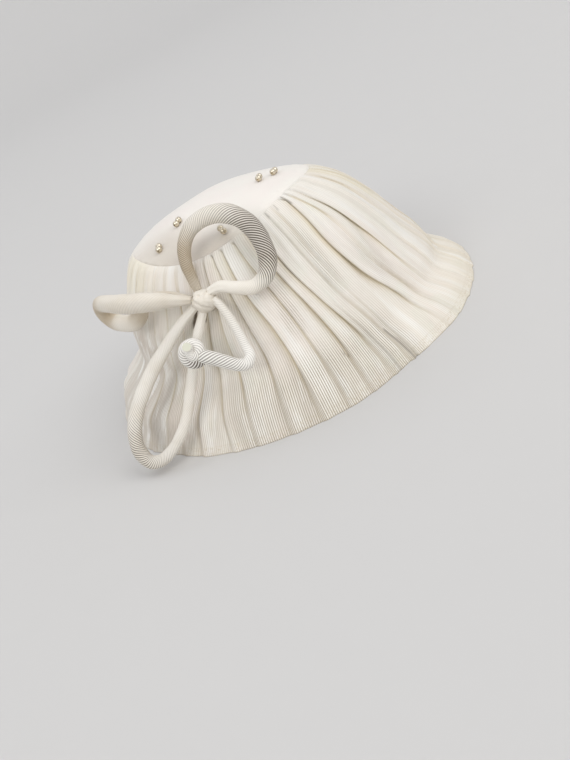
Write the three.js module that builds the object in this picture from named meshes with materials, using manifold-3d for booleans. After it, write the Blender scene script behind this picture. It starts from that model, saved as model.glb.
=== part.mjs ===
// A cocktail hat of ribbed silk: a shallow cap, a tucked skirt that falls from the cap's seam to a fluted
// rim, a bow of stuffed tubing and pairs of small beads. Millimetres, +Z up, the wearer faces -Y.
// Azimuths are degrees round the hat's axis, 0 at the front and growing towards the wearer's left (+X).
import * as THREE from "three";
import { mergeVertices } from "three/addons/utils/BufferGeometryUtils.js";
import Module from "manifold-3d";

const wasm = await Module();
wasm.setup();

// ---- Driving dimensions -------------------------------------------------------------------------------

const WALL = 1.6; // folded silk over its stiffening
const SEAM_GAP = 0.3; // between the cap and the skirt, and under whatever is sewn on
const SEAM_HEIGHT = 93.8; // mean height of the seam between cap and skirt
const SEAM_WAVE = 3.8; // the seam rises by this at the front and back, and dips at the sides
const SEAM_WAVE_AZIMUTH = -5;
const SEAM_BACK_DROP = 4.5; // and sinks by this at the nape
const CAP_RISE = 10; // from the seam's mean height to the top of the cap
const CAP_FULLNESS = 2.15; // 2 is a plain dome, more is flatter on top and rounder at the seam
const CAP_SECTORS = 48;

// The hat's side without its tucks: each level is a circle of this radius, swayed sideways a little.
const SWAY_AZIMUTH = 47;
const SIDE_PROFILE = [
  { height: 0, radius: 123.2, sway: 0 },
  { height: 9, radius: 117.4, sway: -1 },
  { height: 18.5, radius: 108.6, sway: -5 },
  { height: 27, radius: 100.6, sway: -0.5 },
  { height: 35, radius: 94.6, sway: 3 },
  { height: 44, radius: 91.2, sway: 1.8 },
  { height: 60, radius: 85.2, sway: -0.8 },
  { height: 80, radius: 73.6, sway: -3 },
  { height: 94, radius: 60.2, sway: -6.5 },
  { height: 101, radius: 50.6, sway: -6.5 },
];
// Where the rim is drawn in a little, by how much, and how wide each drawn-in place is.
const RIM_DIPS = [
  { azimuth: -17, half: 22, depth: 3.8 },
  { azimuth: -92, half: 14, depth: 1.6 },
  { azimuth: 56, half: 16, depth: 1.6 },
];
const RIM_DIP_TOP = 0.5; // share of the height at which a dip has faded

// The tucks that were laid by hand round the front and the right side, from left to right: the fold's
// azimuth at the seam, high, in the middle, low and at the rim, and how far it stands proud under the seam,
// above mid-height, where it eases below, and at the hem.
const TUCKS = [
  { seam: 28.5, high: 27, mid: 27.5, low: 28.5, rim: 29, top: 1.3, proud: 0.6, ease: 0.4, hem: 0.7 },
  { seam: 15.5, high: 16.5, mid: 17.5, low: 18.5, rim: 20, top: 0.2, proud: 0.2, ease: 0.6, hem: 0.9 },
  { seam: 1.5, high: 3.7, mid: 6, low: 9, rim: 12, top: 0.8, proud: 2.3, ease: 0.7, hem: 0.7 },
  { seam: -4.5, high: -1.5, mid: -1.5, low: 1.5, rim: 4, top: 1.4, proud: 0.3, ease: 0.9, hem: 0.6 },
  { seam: -9.5, high: -13, mid: -10.3, low: -4, rim: -1.5, top: 2.3, proud: 2.6, ease: 1.8, hem: 0.7 },
  { seam: -19.3, high: -20.5, mid: -19, low: -15.6, rim: -15.2, top: 0.8, proud: 0.2, ease: 0.6, hem: 1.3 },
  { seam: -25, high: -24, mid: -21.5, low: -17.5, rim: -17, top: 0.4, proud: 0.4, ease: 0.7, hem: 1.5 },
  { seam: -29.5, high: -28.5, mid: -25.5, low: -22.2, rim: -22, top: 0.2, proud: 0.2, ease: 0.7, hem: 0.7 },
  { seam: -35.5, high: -33.3, mid: -29, low: -24.3, rim: -23.9, top: 1.8, proud: 2, ease: 1.7, hem: 0.9 },
  { seam: -41, high: -37.8, mid: -33.6, low: -30.9, rim: -30.8, top: 1.8, proud: 2.4, ease: 1.6, hem: 0.7 },
  { seam: -48.5, high: -44, mid: -40, low: -38.2, rim: -38, top: 1.7, proud: 1.1, ease: 0.8, hem: 0.7 },
  { seam: -55.3, high: -52, mid: -48.1, low: -46.1, rim: -45.8, top: 2, proud: 2.6, ease: 1.8, hem: 0.9 },
  { seam: -60.6, high: -57.2, mid: -55.5, low: -54.1, rim: -54, top: 1.8, proud: 1.9, ease: 1, hem: 0.7 },
  { seam: -65, high: -64.6, mid: -65.4, low: -64.3, rim: -63.6, top: 1, proud: 2.2, ease: 1, hem: 0.8 },
  { seam: -69.6, high: -68.8, mid: -71.7, low: -71.8, rim: -71, top: 1, proud: 2.2, ease: 1.5, hem: 1 },
  { seam: -74.5, high: -73, mid: -77.2, low: -80.5, rim: -81.2, top: 1, proud: 2.2, ease: 1.3, hem: 1 },
  { seam: -80, high: -80.5, mid: -84, low: -87, rim: -88, top: 0.7, proud: 1.5, ease: 1.2, hem: 0.9 },
  { seam: -87, high: -88.5, mid: -92.4, low: -93.6, rim: -94.5, top: 0.6, proud: 1.2, ease: 1.4, hem: 1 },
  { seam: -95, high: -97, mid: -100, low: -101.5, rim: -102.5, top: 0.6, proud: 1.2, ease: 1.2, hem: 1 },
  { seam: -103, high: -105, mid: -108, low: -109.5, rim: -110.5, top: 0.6, proud: 1.5, ease: 1.3, hem: 1 },
  { seam: -111, high: -113, mid: -116, low: -117.5, rim: -118.5, top: 0.8, proud: 1.8, ease: 1.6, hem: 1.4 },
  { seam: -119, high: -121, mid: -124, low: -125.5, rim: -126, top: 0.9, proud: 1.9, ease: 1.4, hem: 1 },
  { seam: -127, high: -129, mid: -131.5, low: -132.8, rim: -133.5, top: 1, proud: 1.9, ease: 1.4, hem: 1 },
  { seam: -134.5, high: -136, mid: -138.5, low: -139.6, rim: -140.5, top: 1, proud: 1.9, ease: 1.4, hem: 1 },
];
// The rest of the round, over the back and the left side, is laid evenly.
const BACK_TUCKS = {
  count: 22,
  first: -141.5,
  last: -324.5,
  rimLag: -7,
  top: 1.3,
  proud: 1.9,
  ease: 1.4,
  hem: 0.9,
  play: 0.5,
  calm: 0.65,
};
// Shares of the height at which the columns of a tuck hold.
const PATH_STOPS = { rim: 0, low: 0.25, mid: 0.5, high: 0.75, seam: 1 };
const PROUD_STOPS = { hem: 0, ease: 0.3, proud: 0.6, top: 0.92 };
const LEAST_PROUD = 0.1;
const PANEL_STOPS = [0, 0.3, 0.65, 0.985]; // corners across the cloth between one fold and the next
const PANEL_FALL = 1.3; // how quickly the cloth falls away behind its fold
const INNER_FOLLOW = 0.4; // how much of the folds shows inside
const LEVELS = [0, 0.06, 0.2, 0.29, 0.4, 0.6, 0.8, 1]; // shares of the height from rim to seam

// The bow. Each loop lies in a plane of its own through the knot: `heading` and `tilt` turn the plane's
// face, `lean` is the loop's direction in it. Stations give the middle of the tubing along the loop,
// across it and off its plane, and half its width there.
const KNOT = { azimuth: -66.4, radius: 87.8, height: 76.5, heading: -66, tilt: 33, lean: 20 };
const KNOT_SIZE = { wide: 5.3, high: 4.8, deep: 7.2 };
const KNOT_PLACE = { along: 0, across: 0, off: -0.7 };
const KNOT_WRAPS = 2;
const TUBE_THICKNESS = 0.86; // the tubing's thickness as a share of its width
const TUBE_STEP = 4.2; // length of one facet along the tubing
const ROUTE_PARTS = 600; // parts that a tubing's route is measured in
const LOOPS = {
  bow_loop_top: {
    heading: -60,
    tilt: 40,
    lean: 38.4,
    stations: [
      { along: 2.9, across: 4.6, off: 1.4, half: 2.5 },
      { along: 7.1, across: 12.0, off: 2.6, half: 3.1 },
      { along: 12.4, across: 20.0, off: 2.8, half: 3.6 },
      { along: 19.5, across: 26.6, off: 1.6, half: 4.0 },
      { along: 28.8, across: 29.5, off: 0.4, half: 4.6 },
      { along: 37.4, across: 26.4, off: 0, half: 5.2 },
      { along: 44.2, across: 19.4, off: 0, half: 5.5 },
      { along: 47.6, across: 9.6, off: 0, half: 5.4 },
      { along: 47.2, across: -1.1, off: 0, half: 5.2 },
      { along: 43.3, across: -11.3, off: 0, half: 5.1 },
      { along: 37.5, across: -19.3, off: 0, half: 5.0 },
      { along: 29.5, across: -23.4, off: 0, half: 4.6 },
      { along: 21.6, across: -21.3, off: 0.4, half: 4.0 },
      { along: 16.0, across: -13.6, off: 1.6, half: 3.7 },
      { along: 11.6, across: -5.6, off: 2.4, half: 3.2 },
      { along: 5.7, across: -1.2, off: 1.9, half: 2.5 },
    ],
  },
  bow_loop_lower: {
    heading: -75,
    tilt: 33,
    lean: -124.3,
    stations: [
      { along: 4.9, across: -3.1, off: 0.8, half: 2.3 },
      { along: 16.6, across: -7.8, off: 1.2, half: 3.0 },
      { along: 31.9, across: -12.8, off: 0.6, half: 3.7 },
      { along: 47.8, across: -17.1, off: 0, half: 4.2 },
      { along: 62.4, across: -19.0, off: 0, half: 4.4 },
      { along: 76.3, across: -19.1, off: 0, half: 4.4 },
      { along: 87.7, across: -16.2, off: 0, half: 4.4 },
      { along: 95.6, across: -9.8, off: 0, half: 4.4 },
      { along: 98.2, across: -0.4, off: 0, half: 4.1 },
      { along: 94.0, across: 6.6, off: 0, half: 3.6 },
      { along: 85.4, across: 11.2, off: 0, half: 3.2 },
      { along: 74.3, across: 13.5, off: 0, half: 3.1 },
      { along: 62.6, across: 13.3, off: 0, half: 3.1 },
      { along: 51.5, across: 11.1, off: 0, half: 3.1 },
      { along: 40.7, across: 8.3, off: -0.4, half: 3.0 },
      { along: 30.0, across: 5.5, off: -0.8, half: 3.0 },
      { along: 19.1, across: 3.6, off: -0.4, half: 2.9 },
      { along: 5.5, across: 2.0, off: -0.4, half: 2.4 },
    ],
  },
  bow_loop_left: {
    heading: -83,
    tilt: -28,
    lean: 167.8,
    stations: [
      { along: 4.6, across: -4.2, off: 2.1, half: 2.3 },
      { along: 10.4, across: -7.2, off: 3.8, half: 3.6 },
      { along: 18.6, across: -11, off: 5.8, half: 5.1 },
      { along: 28, across: -13, off: 7.4, half: 6 },
      { along: 38, across: -12.2, off: 7.4, half: 6.2 },
      { along: 48, across: -9.8, off: 5.8, half: 6 },
      { along: 57.5, across: -7, off: 3.6, half: 5.6 },
      { along: 65, across: -2.8, off: 1.4, half: 5 },
      { along: 69.2, across: 3.4, off: 0.8, half: 4.7 },
      { along: 69.6, across: 9.4, off: 1.8, half: 5 },
      { along: 65.8, across: 14.2, off: 3.6, half: 5.5 },
      { along: 58.6, across: 15.2, off: 4.8, half: 5.7 },
      { along: 51, across: 13.4, off: 5, half: 5.4 },
      { along: 44.8, across: 8, off: 3.6, half: 4.8 },
      { along: 39.6, across: 1.8, off: 0.6, half: 4 },
      { along: 31, across: -2, off: -2.2, half: 3.2 },
      { along: 21, across: -2.4, off: -2.6, half: 2.8 },
      { along: 6.6, across: 0.2, off: -1.2, half: 2.2 },
    ],
  },
  bow_tail: {
    heading: -60,
    tilt: 30,
    lean: 0,
    stations: [
      { along: 6.4, across: -1.4, off: 0.9, half: 2.1 },
      { along: 8.6, across: -5.4, off: 0.6, half: 2.4 },
      { along: 10.9, across: -12.4, off: 0.4, half: 2.5 },
      { along: 13.1, across: -22.3, off: 0, half: 2.5 },
      { along: 14.6, across: -31.3, off: -0.3, half: 2.6 },
      { along: 15.4, across: -36.6, off: 0.2, half: 2.9 },
      { along: 12.8, across: -40.0, off: 0.9, half: 3.2 },
      { along: 8.4, across: -39.4, off: 2.2, half: 3.3 },
      { along: 3.6, across: -36.2, off: 4.4, half: 3.4 },
      { along: -1.2, across: -32.6, off: 6.8, half: 3.4 },
      { along: -4.3, across: -30.9, off: 7.9, half: 3.1 },
    ],
  },
};
const TAIL_KNOT = { along: -11.6, across: -27.2, off: 8.8, wide: 9.0, high: 7.4, deep: 5.8, lean: 25 };
const TAIL_END = { along: -11.6, across: -22.6, reach: 15.2, half: 2.7 };

const BEAD = { radius: 1.95, spacing: 3.5 };
const BEAD_FACETS = [10, 6];
// Pairs of beads on the cap: the middle of each pair, and the way that the pair points.
const BEAD_PAIRS = [
  { x: 11.2, y: -24.0, turn: 30 },
  { x: -31.4, y: 11.0, turn: 10 },
  { x: -52.6, y: 11.7, turn: 37 },
  { x: -42.8, y: -33.4, turn: 60 },
  { x: 21.7, y: -27.3, turn: 20 },
];

const IVORY = { color: 0xeee9dc, roughness: 0.72, metalness: 0 };
const IVORY_TUBING = { color: 0xe4ddcc, roughness: 0.62, metalness: 0 };
const BEAD_METAL = { color: 0xb9a988, roughness: 0.28, metalness: 0.9 };

// ---- Small helpers ------------------------------------------------------------------------------------

const { degToRad, lerp, smoothstep } = THREE.MathUtils;

// A value from a table's column at any height, along a smooth curve through its rows.
function tableValue(rows, column, height) {
  let k = rows.findIndex((row) => row.height > height);
  k = k < 0 ? rows.length - 2 : Math.max(k - 1, 0);
  const slope = (i) => {
    const before = rows[Math.max(i - 1, 0)];
    const after = rows[Math.min(i + 1, rows.length - 1)];
    return (after[column] - before[column]) / (after.height - before.height);
  };
  const [a, b] = [rows[k], rows[k + 1]];
  const span = b.height - a.height;
  const t = (height - a.height) / span;
  const rise = b[column] - a[column];
  const cubic = slope(k) * span + slope(k + 1) * span - 2 * rise;
  return a[column] + t * (slope(k) * span + t * (rise - slope(k) * span + (t - 1) * cubic));
}

function onCompass(azimuth, radius, height) {
  const turn = degToRad(azimuth);
  return new THREE.Vector3(radius * Math.sin(turn), -radius * Math.cos(turn), height);
}

// A closed solid through rings of points: its ends are closed by fans, or it closes on itself.
function loft(rings, closesOnItself = false) {
  const size = rings[0].length;
  const points = rings.flat();
  const faces = [];
  const bands = closesOnItself ? rings.length : rings.length - 1;
  for (let r = 0; r < bands; r++) {
    const next = (r + 1) % rings.length;
    for (let i = 0; i < size; i++) {
      const j = (i + 1) % size;
      const [a, b, c, d] = [r * size + i, r * size + j, next * size + j, next * size + i];
      faces.push(a, b, c, a, c, d);
    }
  }
  if (!closesOnItself) {
    const addLid = (ring, turned) => {
      const middle = new THREE.Vector3();
      rings[ring].forEach((p) => middle.addScaledVector(p, 1 / size));
      points.push(middle);
      for (let i = 0; i < size; i++) {
        const edge = [ring * size + i, ring * size + ((i + 1) % size)];
        faces.push(...(turned ? edge : edge.reverse()), points.length - 1);
      }
    };
    addLid(0, false);
    addLid(rings.length - 1, true);
  }
  const geometry = new THREE.BufferGeometry().setFromPoints(points);
  geometry.setIndex(faces);
  return geometry;
}

function toSolid(geometry) {
  const bare = geometry.clone();
  bare.deleteAttribute("normal");
  bare.deleteAttribute("uv");
  const merged = mergeVertices(bare, 1e-3);
  const vertProperties = Float32Array.from(merged.attributes.position.array);
  const triVerts = Uint32Array.from(merged.index.array);
  return new wasm.Manifold(new wasm.Mesh({ numProp: 3, vertProperties, triVerts }));
}

// One body out of geometries that reach into each other.
function fuse(geometries) {
  const solid = geometries.map(toSolid).reduce((all, next) => all.add(next));
  const mesh = solid.getMesh();
  const geometry = new THREE.BufferGeometry();
  geometry.setAttribute("position", new THREE.BufferAttribute(mesh.vertProperties, 3));
  geometry.setIndex(new THREE.BufferAttribute(mesh.triVerts, 1));
  return geometry;
}

const hat = new THREE.Group();

function addPiece(name, geometry, finish) {
  geometry.computeVertexNormals();
  const piece = new THREE.Mesh(geometry, new THREE.MeshStandardMaterial(finish));
  piece.name = name;
  hat.add(piece);
}

// ---- The hat's side, its seam and its tucks -----------------------------------------------------------

function seamHeight(azimuth) {
  const nape = (1 - Math.cos(degToRad(azimuth))) / 2;
  const wave = SEAM_WAVE * Math.cos(2 * degToRad(azimuth - SEAM_WAVE_AZIMUTH));
  return SEAM_HEIGHT + wave - SEAM_BACK_DROP * nape ** 3;
}

function rimDip(azimuth) {
  return RIM_DIPS.reduce((sum, dip) => {
    const away = THREE.MathUtils.euclideanModulo(azimuth - dip.azimuth + 180, 360) - 180;
    return sum + dip.depth * smoothstep(1 - Math.abs(away) / dip.half, 0, 1);
  }, 0);
}

function sideRadius(azimuth, height) {
  const sway = tableValue(SIDE_PROFILE, "sway", height) * Math.cos(degToRad(azimuth - SWAY_AZIMUTH));
  const dip = rimDip(azimuth) * (1 - smoothstep(height, 0, RIM_DIP_TOP * SEAM_HEIGHT));
  return tableValue(SIDE_PROFILE, "radius", height) + sway - dip;
}

// Every tuck of the round, by growing azimuth. The even ones grow calmer towards the front.
function layTucks() {
  const { count, first, last, rimLag, top, proud, ease, hem, play, calm } = BACK_TUCKS;
  const back = Array.from({ length: count }, (_, i) => {
    const share = i / (count - 1);
    const uneven = play * Math.sin(2.4 * i);
    const seam = lerp(first, last, share) + uneven;
    const lag = rimLag * (1 - share) - uneven;
    const strength = 1 - calm * share ** 5;
    return {
      seam,
      high: seam + 0.1 * lag,
      mid: seam + 0.5 * lag,
      low: seam + 0.9 * lag,
      rim: seam + lag,
      top: strength * top,
      proud: strength * (proud + uneven),
      ease: strength * (ease - 0.4 * uneven),
      hem: strength * (hem - 0.5 * uneven),
    };
  });
  return [...TUCKS, ...back].reverse();
}

const tucks = layTucks();

// A tuck's value at a share of the height, along a smooth curve through its columns.
function alongTuck(tuck, stops, share) {
  const rows = Object.entries(stops).map(([column, height]) => ({ height, value: tuck[column] }));
  return tableValue(rows, "value", Math.min(share, rows.at(-1).height));
}

function foldAzimuth(tuck, share) {
  return alongTuck(tuck, PATH_STOPS, share);
}

function foldHeight(tuck, share) {
  return Math.max(alongTuck(tuck, PROUD_STOPS, share), LEAST_PROUD);
}

// The upright section of the skirt's wall at one stop between a fold and the next: outside up from the
// rim, then inside back down.
function skirtSection(tuck, nextTuck, turn, stop) {
  const outside = [];
  const inside = [];
  for (const share of LEVELS) {
    const azimuth = lerp(foldAzimuth(tuck, share), foldAzimuth(nextTuck, share) + turn, stop);
    const height = share * (seamHeight(azimuth) - SEAM_GAP);
    const proud = foldHeight(tuck, share) * (1 - stop) ** PANEL_FALL;
    const radius = sideRadius(azimuth, height);
    outside.push(onCompass(azimuth, radius + proud, height));
    inside.push(onCompass(azimuth, radius + INNER_FOLLOW * proud - WALL, height));
  }
  return [...outside, ...inside.reverse()];
}

function makeSkirt() {
  const sections = tucks.flatMap((tuck, i) => {
    const isLast = i === tucks.length - 1;
    const nextTuck = tucks[isLast ? 0 : i + 1];
    return PANEL_STOPS.map((stop) => skirtSection(tuck, nextTuck, isLast ? 360 : 0, stop));
  });
  return loft(sections.reverse(), true);
}

// ---- The cap ------------------------------------------------------------------------------------------

const capCentre = onCompass(SWAY_AZIMUTH, tableValue(SIDE_PROFILE, "sway", SEAM_HEIGHT), 0);
const capTop = SEAM_HEIGHT + CAP_RISE;

function capPoint(azimuth, share, inset, drop) {
  const edge = onCompass(azimuth, sideRadius(azimuth, seamHeight(azimuth)) - inset, seamHeight(azimuth));
  const point = capCentre.clone().lerp(edge, share);
  point.z = lerp(capTop, edge.z, share ** CAP_FULLNESS) - drop;
  return point;
}

function makeCap() {
  const azimuths = Array.from({ length: CAP_SECTORS }, (_, i) => (360 * i) / CAP_SECTORS);
  const ringAt = (share, inset, drop) => azimuths.map((azimuth) => capPoint(azimuth, share, inset, drop));
  const outside = [0.06, 0.28, 0.5, 0.68, 0.84, 0.94, 1].map((share) => ringAt(share, 0, 0));
  const inside = [1, 0.94, 0.8, 0.6, 0.34, 0.06].map((share) => ringAt(share, WALL, share < 1 ? WALL : 0));
  return loft([...outside, ...inside].reverse());
}

// Where the cap's surface lies above a place on the plan.
function capHeight(x, y) {
  const away = new THREE.Vector2(x - capCentre.x, y - capCentre.y);
  const azimuth = THREE.MathUtils.radToDeg(Math.atan2(away.x, -away.y));
  const seam = seamHeight(azimuth);
  const edge = onCompass(azimuth, sideRadius(azimuth, seam), 0).sub(capCentre).length();
  return lerp(capTop, seam, (away.length() / edge) ** CAP_FULLNESS);
}

// ---- The bow ------------------------------------------------------------------------------------------

const knotCentre = onCompass(KNOT.azimuth, KNOT.radius, KNOT.height);

// A bow plane's axes: along the loop, across it, and out of the plane.
function bowAxes({ heading, tilt, lean }) {
  const [turn, rise, swing] = [heading, tilt, lean].map(degToRad);
  const [sideways, forwards] = [Math.sin(turn), -Math.cos(turn)];
  const out = new THREE.Vector3(sideways * Math.cos(rise), forwards * Math.cos(rise), Math.sin(rise));
  const level = new THREE.Vector3(Math.cos(turn), Math.sin(turn), 0);
  const slope = out.clone().cross(level);
  const along = level.clone().multiplyScalar(Math.cos(swing)).addScaledVector(slope, Math.sin(swing));
  return { along, across: out.clone().cross(along), out };
}

function bowPoint(axes, { along, across, off }) {
  const point = knotCentre.clone().addScaledVector(axes.along, along);
  return point.addScaledVector(axes.across, across).addScaledVector(axes.out, off);
}

// Stuffed tubing through a loop's stations: a round of radius 1 swept along them, then let out to the
// width of each station.
function makeTubing(loop) {
  const axes = bowAxes(loop);
  const route = new THREE.CatmullRomCurve3(loop.stations.map((station) => bowPoint(axes, station)));
  route.arcLengthDivisions = ROUTE_PARTS;
  const steps = Math.round(route.getLength() / TUBE_STEP);
  const round = new THREE.Shape().absarc(0, 0, 1, 0, 2 * Math.PI);
  const tubing = new THREE.ExtrudeGeometry(round, { steps, extrudePath: route, curveSegments: 5 });
  const middles = route.getSpacedPoints(steps);
  const lengths = route.getLengths(ROUTE_PARTS);
  const halves = middles.map((_, step) => {
    const reach = (step / steps) * lengths[ROUTE_PARTS];
    const passed = lengths.findIndex((length) => length >= reach - 1e-6) / ROUTE_PARTS;
    const place = passed * (loop.stations.length - 1);
    const k = Math.min(Math.floor(place), loop.stations.length - 2);
    return lerp(loop.stations[k].half, loop.stations[k + 1].half, place - k);
  });
  const corner = new THREE.Vector3();
  const corners = tubing.attributes.position;
  for (let i = 0; i < corners.count; i++) {
    corner.fromBufferAttribute(corners, i);
    const distances = middles.map((middle) => middle.distanceTo(corner));
    const nearest = distances.indexOf(Math.min(...distances));
    const reach = corner.clone().sub(middles[nearest]);
    const outward = reach.dot(axes.out);
    reach.addScaledVector(axes.out, outward * (TUBE_THICKNESS - 1)).multiplyScalar(halves[nearest]);
    corner.copy(middles[nearest]).add(reach);
    corners.setXYZ(i, corner.x, corner.y, corner.z);
  }
  return mergeVertices(tubing.deleteAttribute("normal").deleteAttribute("uv"), 1e-3);
}

// A pulled-up knot: a round body with soft wraps round it.
function makeKnotBody(sizes, wraps) {
  const body = new THREE.SphereGeometry(1, 18, 12);
  const corner = new THREE.Vector3();
  const corners = body.attributes.position;
  for (let i = 0; i < corners.count; i++) {
    corner.fromBufferAttribute(corners, i);
    const swell = 1 + 0.06 * Math.cos(wraps * Math.atan2(corner.y, corner.z) + 2 * corner.x);
    corners.setXYZ(i, corner.x * sizes.wide, corner.y * sizes.high * swell, corner.z * sizes.deep * swell);
  }
  return body;
}

function placeInBow(geometry, axes, place, lean = 0) {
  const frame = new THREE.Matrix4().makeBasis(axes.along, axes.across, axes.out);
  frame.setPosition(bowPoint(axes, place));
  return geometry.rotateZ(degToRad(lean)).applyMatrix4(frame);
}

function makeTailKnot() {
  const axes = bowAxes(LOOPS.bow_tail);
  const body = placeInBow(makeKnotBody(TAIL_KNOT, 3), axes, TAIL_KNOT, TAIL_KNOT.lean);
  const length = TAIL_END.reach - TAIL_KNOT.off;
  const end = new THREE.CylinderGeometry(TAIL_END.half, TAIL_END.half, length, 12).rotateX(Math.PI / 2);
  const middle = { ...TAIL_END, off: TAIL_END.reach - length / 2 };
  return fuse([body, placeInBow(end, axes, middle)]);
}

// ---- The beads ----------------------------------------------------------------------------------------

function makeBeadPair({ x, y, turn }) {
  const half = BEAD.spacing / 2;
  const beads = [-half, half].map((step) => {
    const [bx, by] = [x + step * Math.cos(degToRad(turn)), y + step * Math.sin(degToRad(turn))];
    const bead = new THREE.SphereGeometry(BEAD.radius, ...BEAD_FACETS);
    return bead.translate(bx, by, capHeight(bx, by) + BEAD.radius + SEAM_GAP);
  });
  return fuse(beads);
}

// ---- The whole hat ------------------------------------------------------------------------------------

addPiece("crown_cap", makeCap(), IVORY);
addPiece("pleated_skirt", makeSkirt(), IVORY);
const knotBody = makeKnotBody(KNOT_SIZE, KNOT_WRAPS);
addPiece("bow_knot", placeInBow(knotBody, bowAxes(KNOT), KNOT_PLACE), IVORY_TUBING);
for (const [name, loop] of Object.entries(LOOPS)) addPiece(name, makeTubing(loop), IVORY_TUBING);
addPiece("tail_knot", makeTailKnot(), IVORY_TUBING);
BEAD_PAIRS.forEach((pair, i) => addPiece(`bead_pair_${i + 1}`, makeBeadPair(pair), BEAD_METAL));

// The origin is under the middle of the whole hat, on the plane that its rim stands on.
const middle = new THREE.Box3().setFromObject(hat).getCenter(new THREE.Vector3());
hat.children.forEach((piece) => piece.geometry.translate(-middle.x, -middle.y, 0));

export default hat;
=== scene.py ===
"""A cocktail hat of ribbed silk: a smooth cap, a tucked skirt, a bow of stuffed tubing and beads.

The tables give millimetres and degrees, as a maker would write them down, and every mesh is made in
metres. Azimuths go round the hat's own axis: 0 is the front, and they grow towards the wearer's left.
A share of the height is 0 at the rim and 1 at the seam between the skirt and the cap.
"""

import logging
import math
from dataclasses import dataclass, field
from enum import Enum
from typing import Mapping, Sequence, Union

import bmesh
import bpy
import numpy as np
from mathutils import Matrix, Vector


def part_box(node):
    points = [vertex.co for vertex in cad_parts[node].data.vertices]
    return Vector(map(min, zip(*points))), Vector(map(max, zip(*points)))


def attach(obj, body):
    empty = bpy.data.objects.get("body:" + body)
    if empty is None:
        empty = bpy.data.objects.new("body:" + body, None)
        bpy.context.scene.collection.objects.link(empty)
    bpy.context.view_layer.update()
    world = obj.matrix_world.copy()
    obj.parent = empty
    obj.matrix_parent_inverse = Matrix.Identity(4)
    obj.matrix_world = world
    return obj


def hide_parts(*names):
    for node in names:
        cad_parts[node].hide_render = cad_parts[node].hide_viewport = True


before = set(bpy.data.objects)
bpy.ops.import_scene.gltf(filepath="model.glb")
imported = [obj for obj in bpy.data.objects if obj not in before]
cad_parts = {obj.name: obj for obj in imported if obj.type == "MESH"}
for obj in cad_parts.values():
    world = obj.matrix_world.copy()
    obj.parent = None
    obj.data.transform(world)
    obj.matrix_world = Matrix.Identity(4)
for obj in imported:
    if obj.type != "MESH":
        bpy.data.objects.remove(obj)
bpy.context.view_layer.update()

LOG = logging.getLogger("cocktail_hat")
MM = 0.001
BODY = "root"

Colour = tuple[float, float, float, float]
Piece = bpy.types.Object
Material = bpy.types.Material


class Slot(Enum):
    """The record's material slots."""

    RIBBED_SILK = "ribbed_silk"
    SILK_TUBING = "silk_tubing"
    BEAD_METAL = "bead_metal"


# ---- Small numeric helpers ----------------------------------------------------------------------------


def smoothstep(value: np.ndarray, low: float, high: float) -> np.ndarray:
    """Eases from 0 at `low` to 1 at `high`, which may be the lower of the two."""
    share = np.clip((np.asarray(value, float) - low) / (high - low), 0.0, 1.0)
    return share * share * (3 - 2 * share)


def blend(low: np.ndarray, high: np.ndarray, share: np.ndarray) -> np.ndarray:
    """The value at a share of the way from one to another."""
    return low + (high - low) * share


def unit(vectors: np.ndarray) -> np.ndarray:
    """Vectors of length 1 in the same directions."""
    return vectors / np.maximum(np.linalg.norm(vectors, axis=-1, keepdims=True), 1e-12)


def turned_from(azimuth: np.ndarray, centre: float) -> np.ndarray:
    """The turn from one azimuth to others, between -180 and 180 degrees."""
    return np.mod(azimuth - centre + 180, 360) - 180


def hump(away: np.ndarray, half: float) -> np.ndarray:
    """A swelling that is 1 at its middle and eases to 0 at half its width."""
    return smoothstep(1 - np.abs(away) / half, 0, 1)


def bell(away: np.ndarray, spread: float, power: float = 2) -> np.ndarray:
    """A swelling that is 1 at its middle and dies away over its spread."""
    return np.exp(-(np.abs(away / spread) ** power))


def curve_value(knots: np.ndarray, values: np.ndarray, at: np.ndarray) -> np.ndarray:
    """Reads a table along a smooth curve through its rows.

    Args:
        knots: The rows' places, growing.
        values: The column's value in each row.
        at: The places to read.

    Returns:
        The column's values there.
    """
    at = np.asarray(at, float)
    last = len(knots) - 1
    row = np.clip(np.searchsorted(knots, at, side="right") - 1, 0, last - 1)
    before = np.maximum(np.arange(last + 1) - 1, 0)
    after = np.minimum(np.arange(last + 1) + 1, last)
    slopes = (values[after] - values[before]) / (knots[after] - knots[before])
    span = knots[row + 1] - knots[row]
    share = (at - knots[row]) / span
    rise = values[row + 1] - values[row]
    start = slopes[row] * span
    cubic = start + slopes[row + 1] * span - 2 * rise
    return values[row] + share * (start + share * (rise - start + (share - 1) * cubic))


# ---- The hat's form -----------------------------------------------------------------------------------


@dataclass(frozen=True)
class SideLevel:
    """One level of the hat's side: a circle of this radius, swayed sideways a little."""

    height: float
    radius: float
    sway: float


@dataclass(frozen=True)
class RimDip:
    """A place where the rim is drawn in: its azimuth, half its width in degrees, and its depth."""

    azimuth: float
    half: float
    depth: float


@dataclass(frozen=True)
class NeckSwell:
    """A stretch of the neck above the flare that stands out, so that the side falls straighter there."""

    azimuth: float
    half: float
    height: float
    spread: float
    out: float


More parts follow.
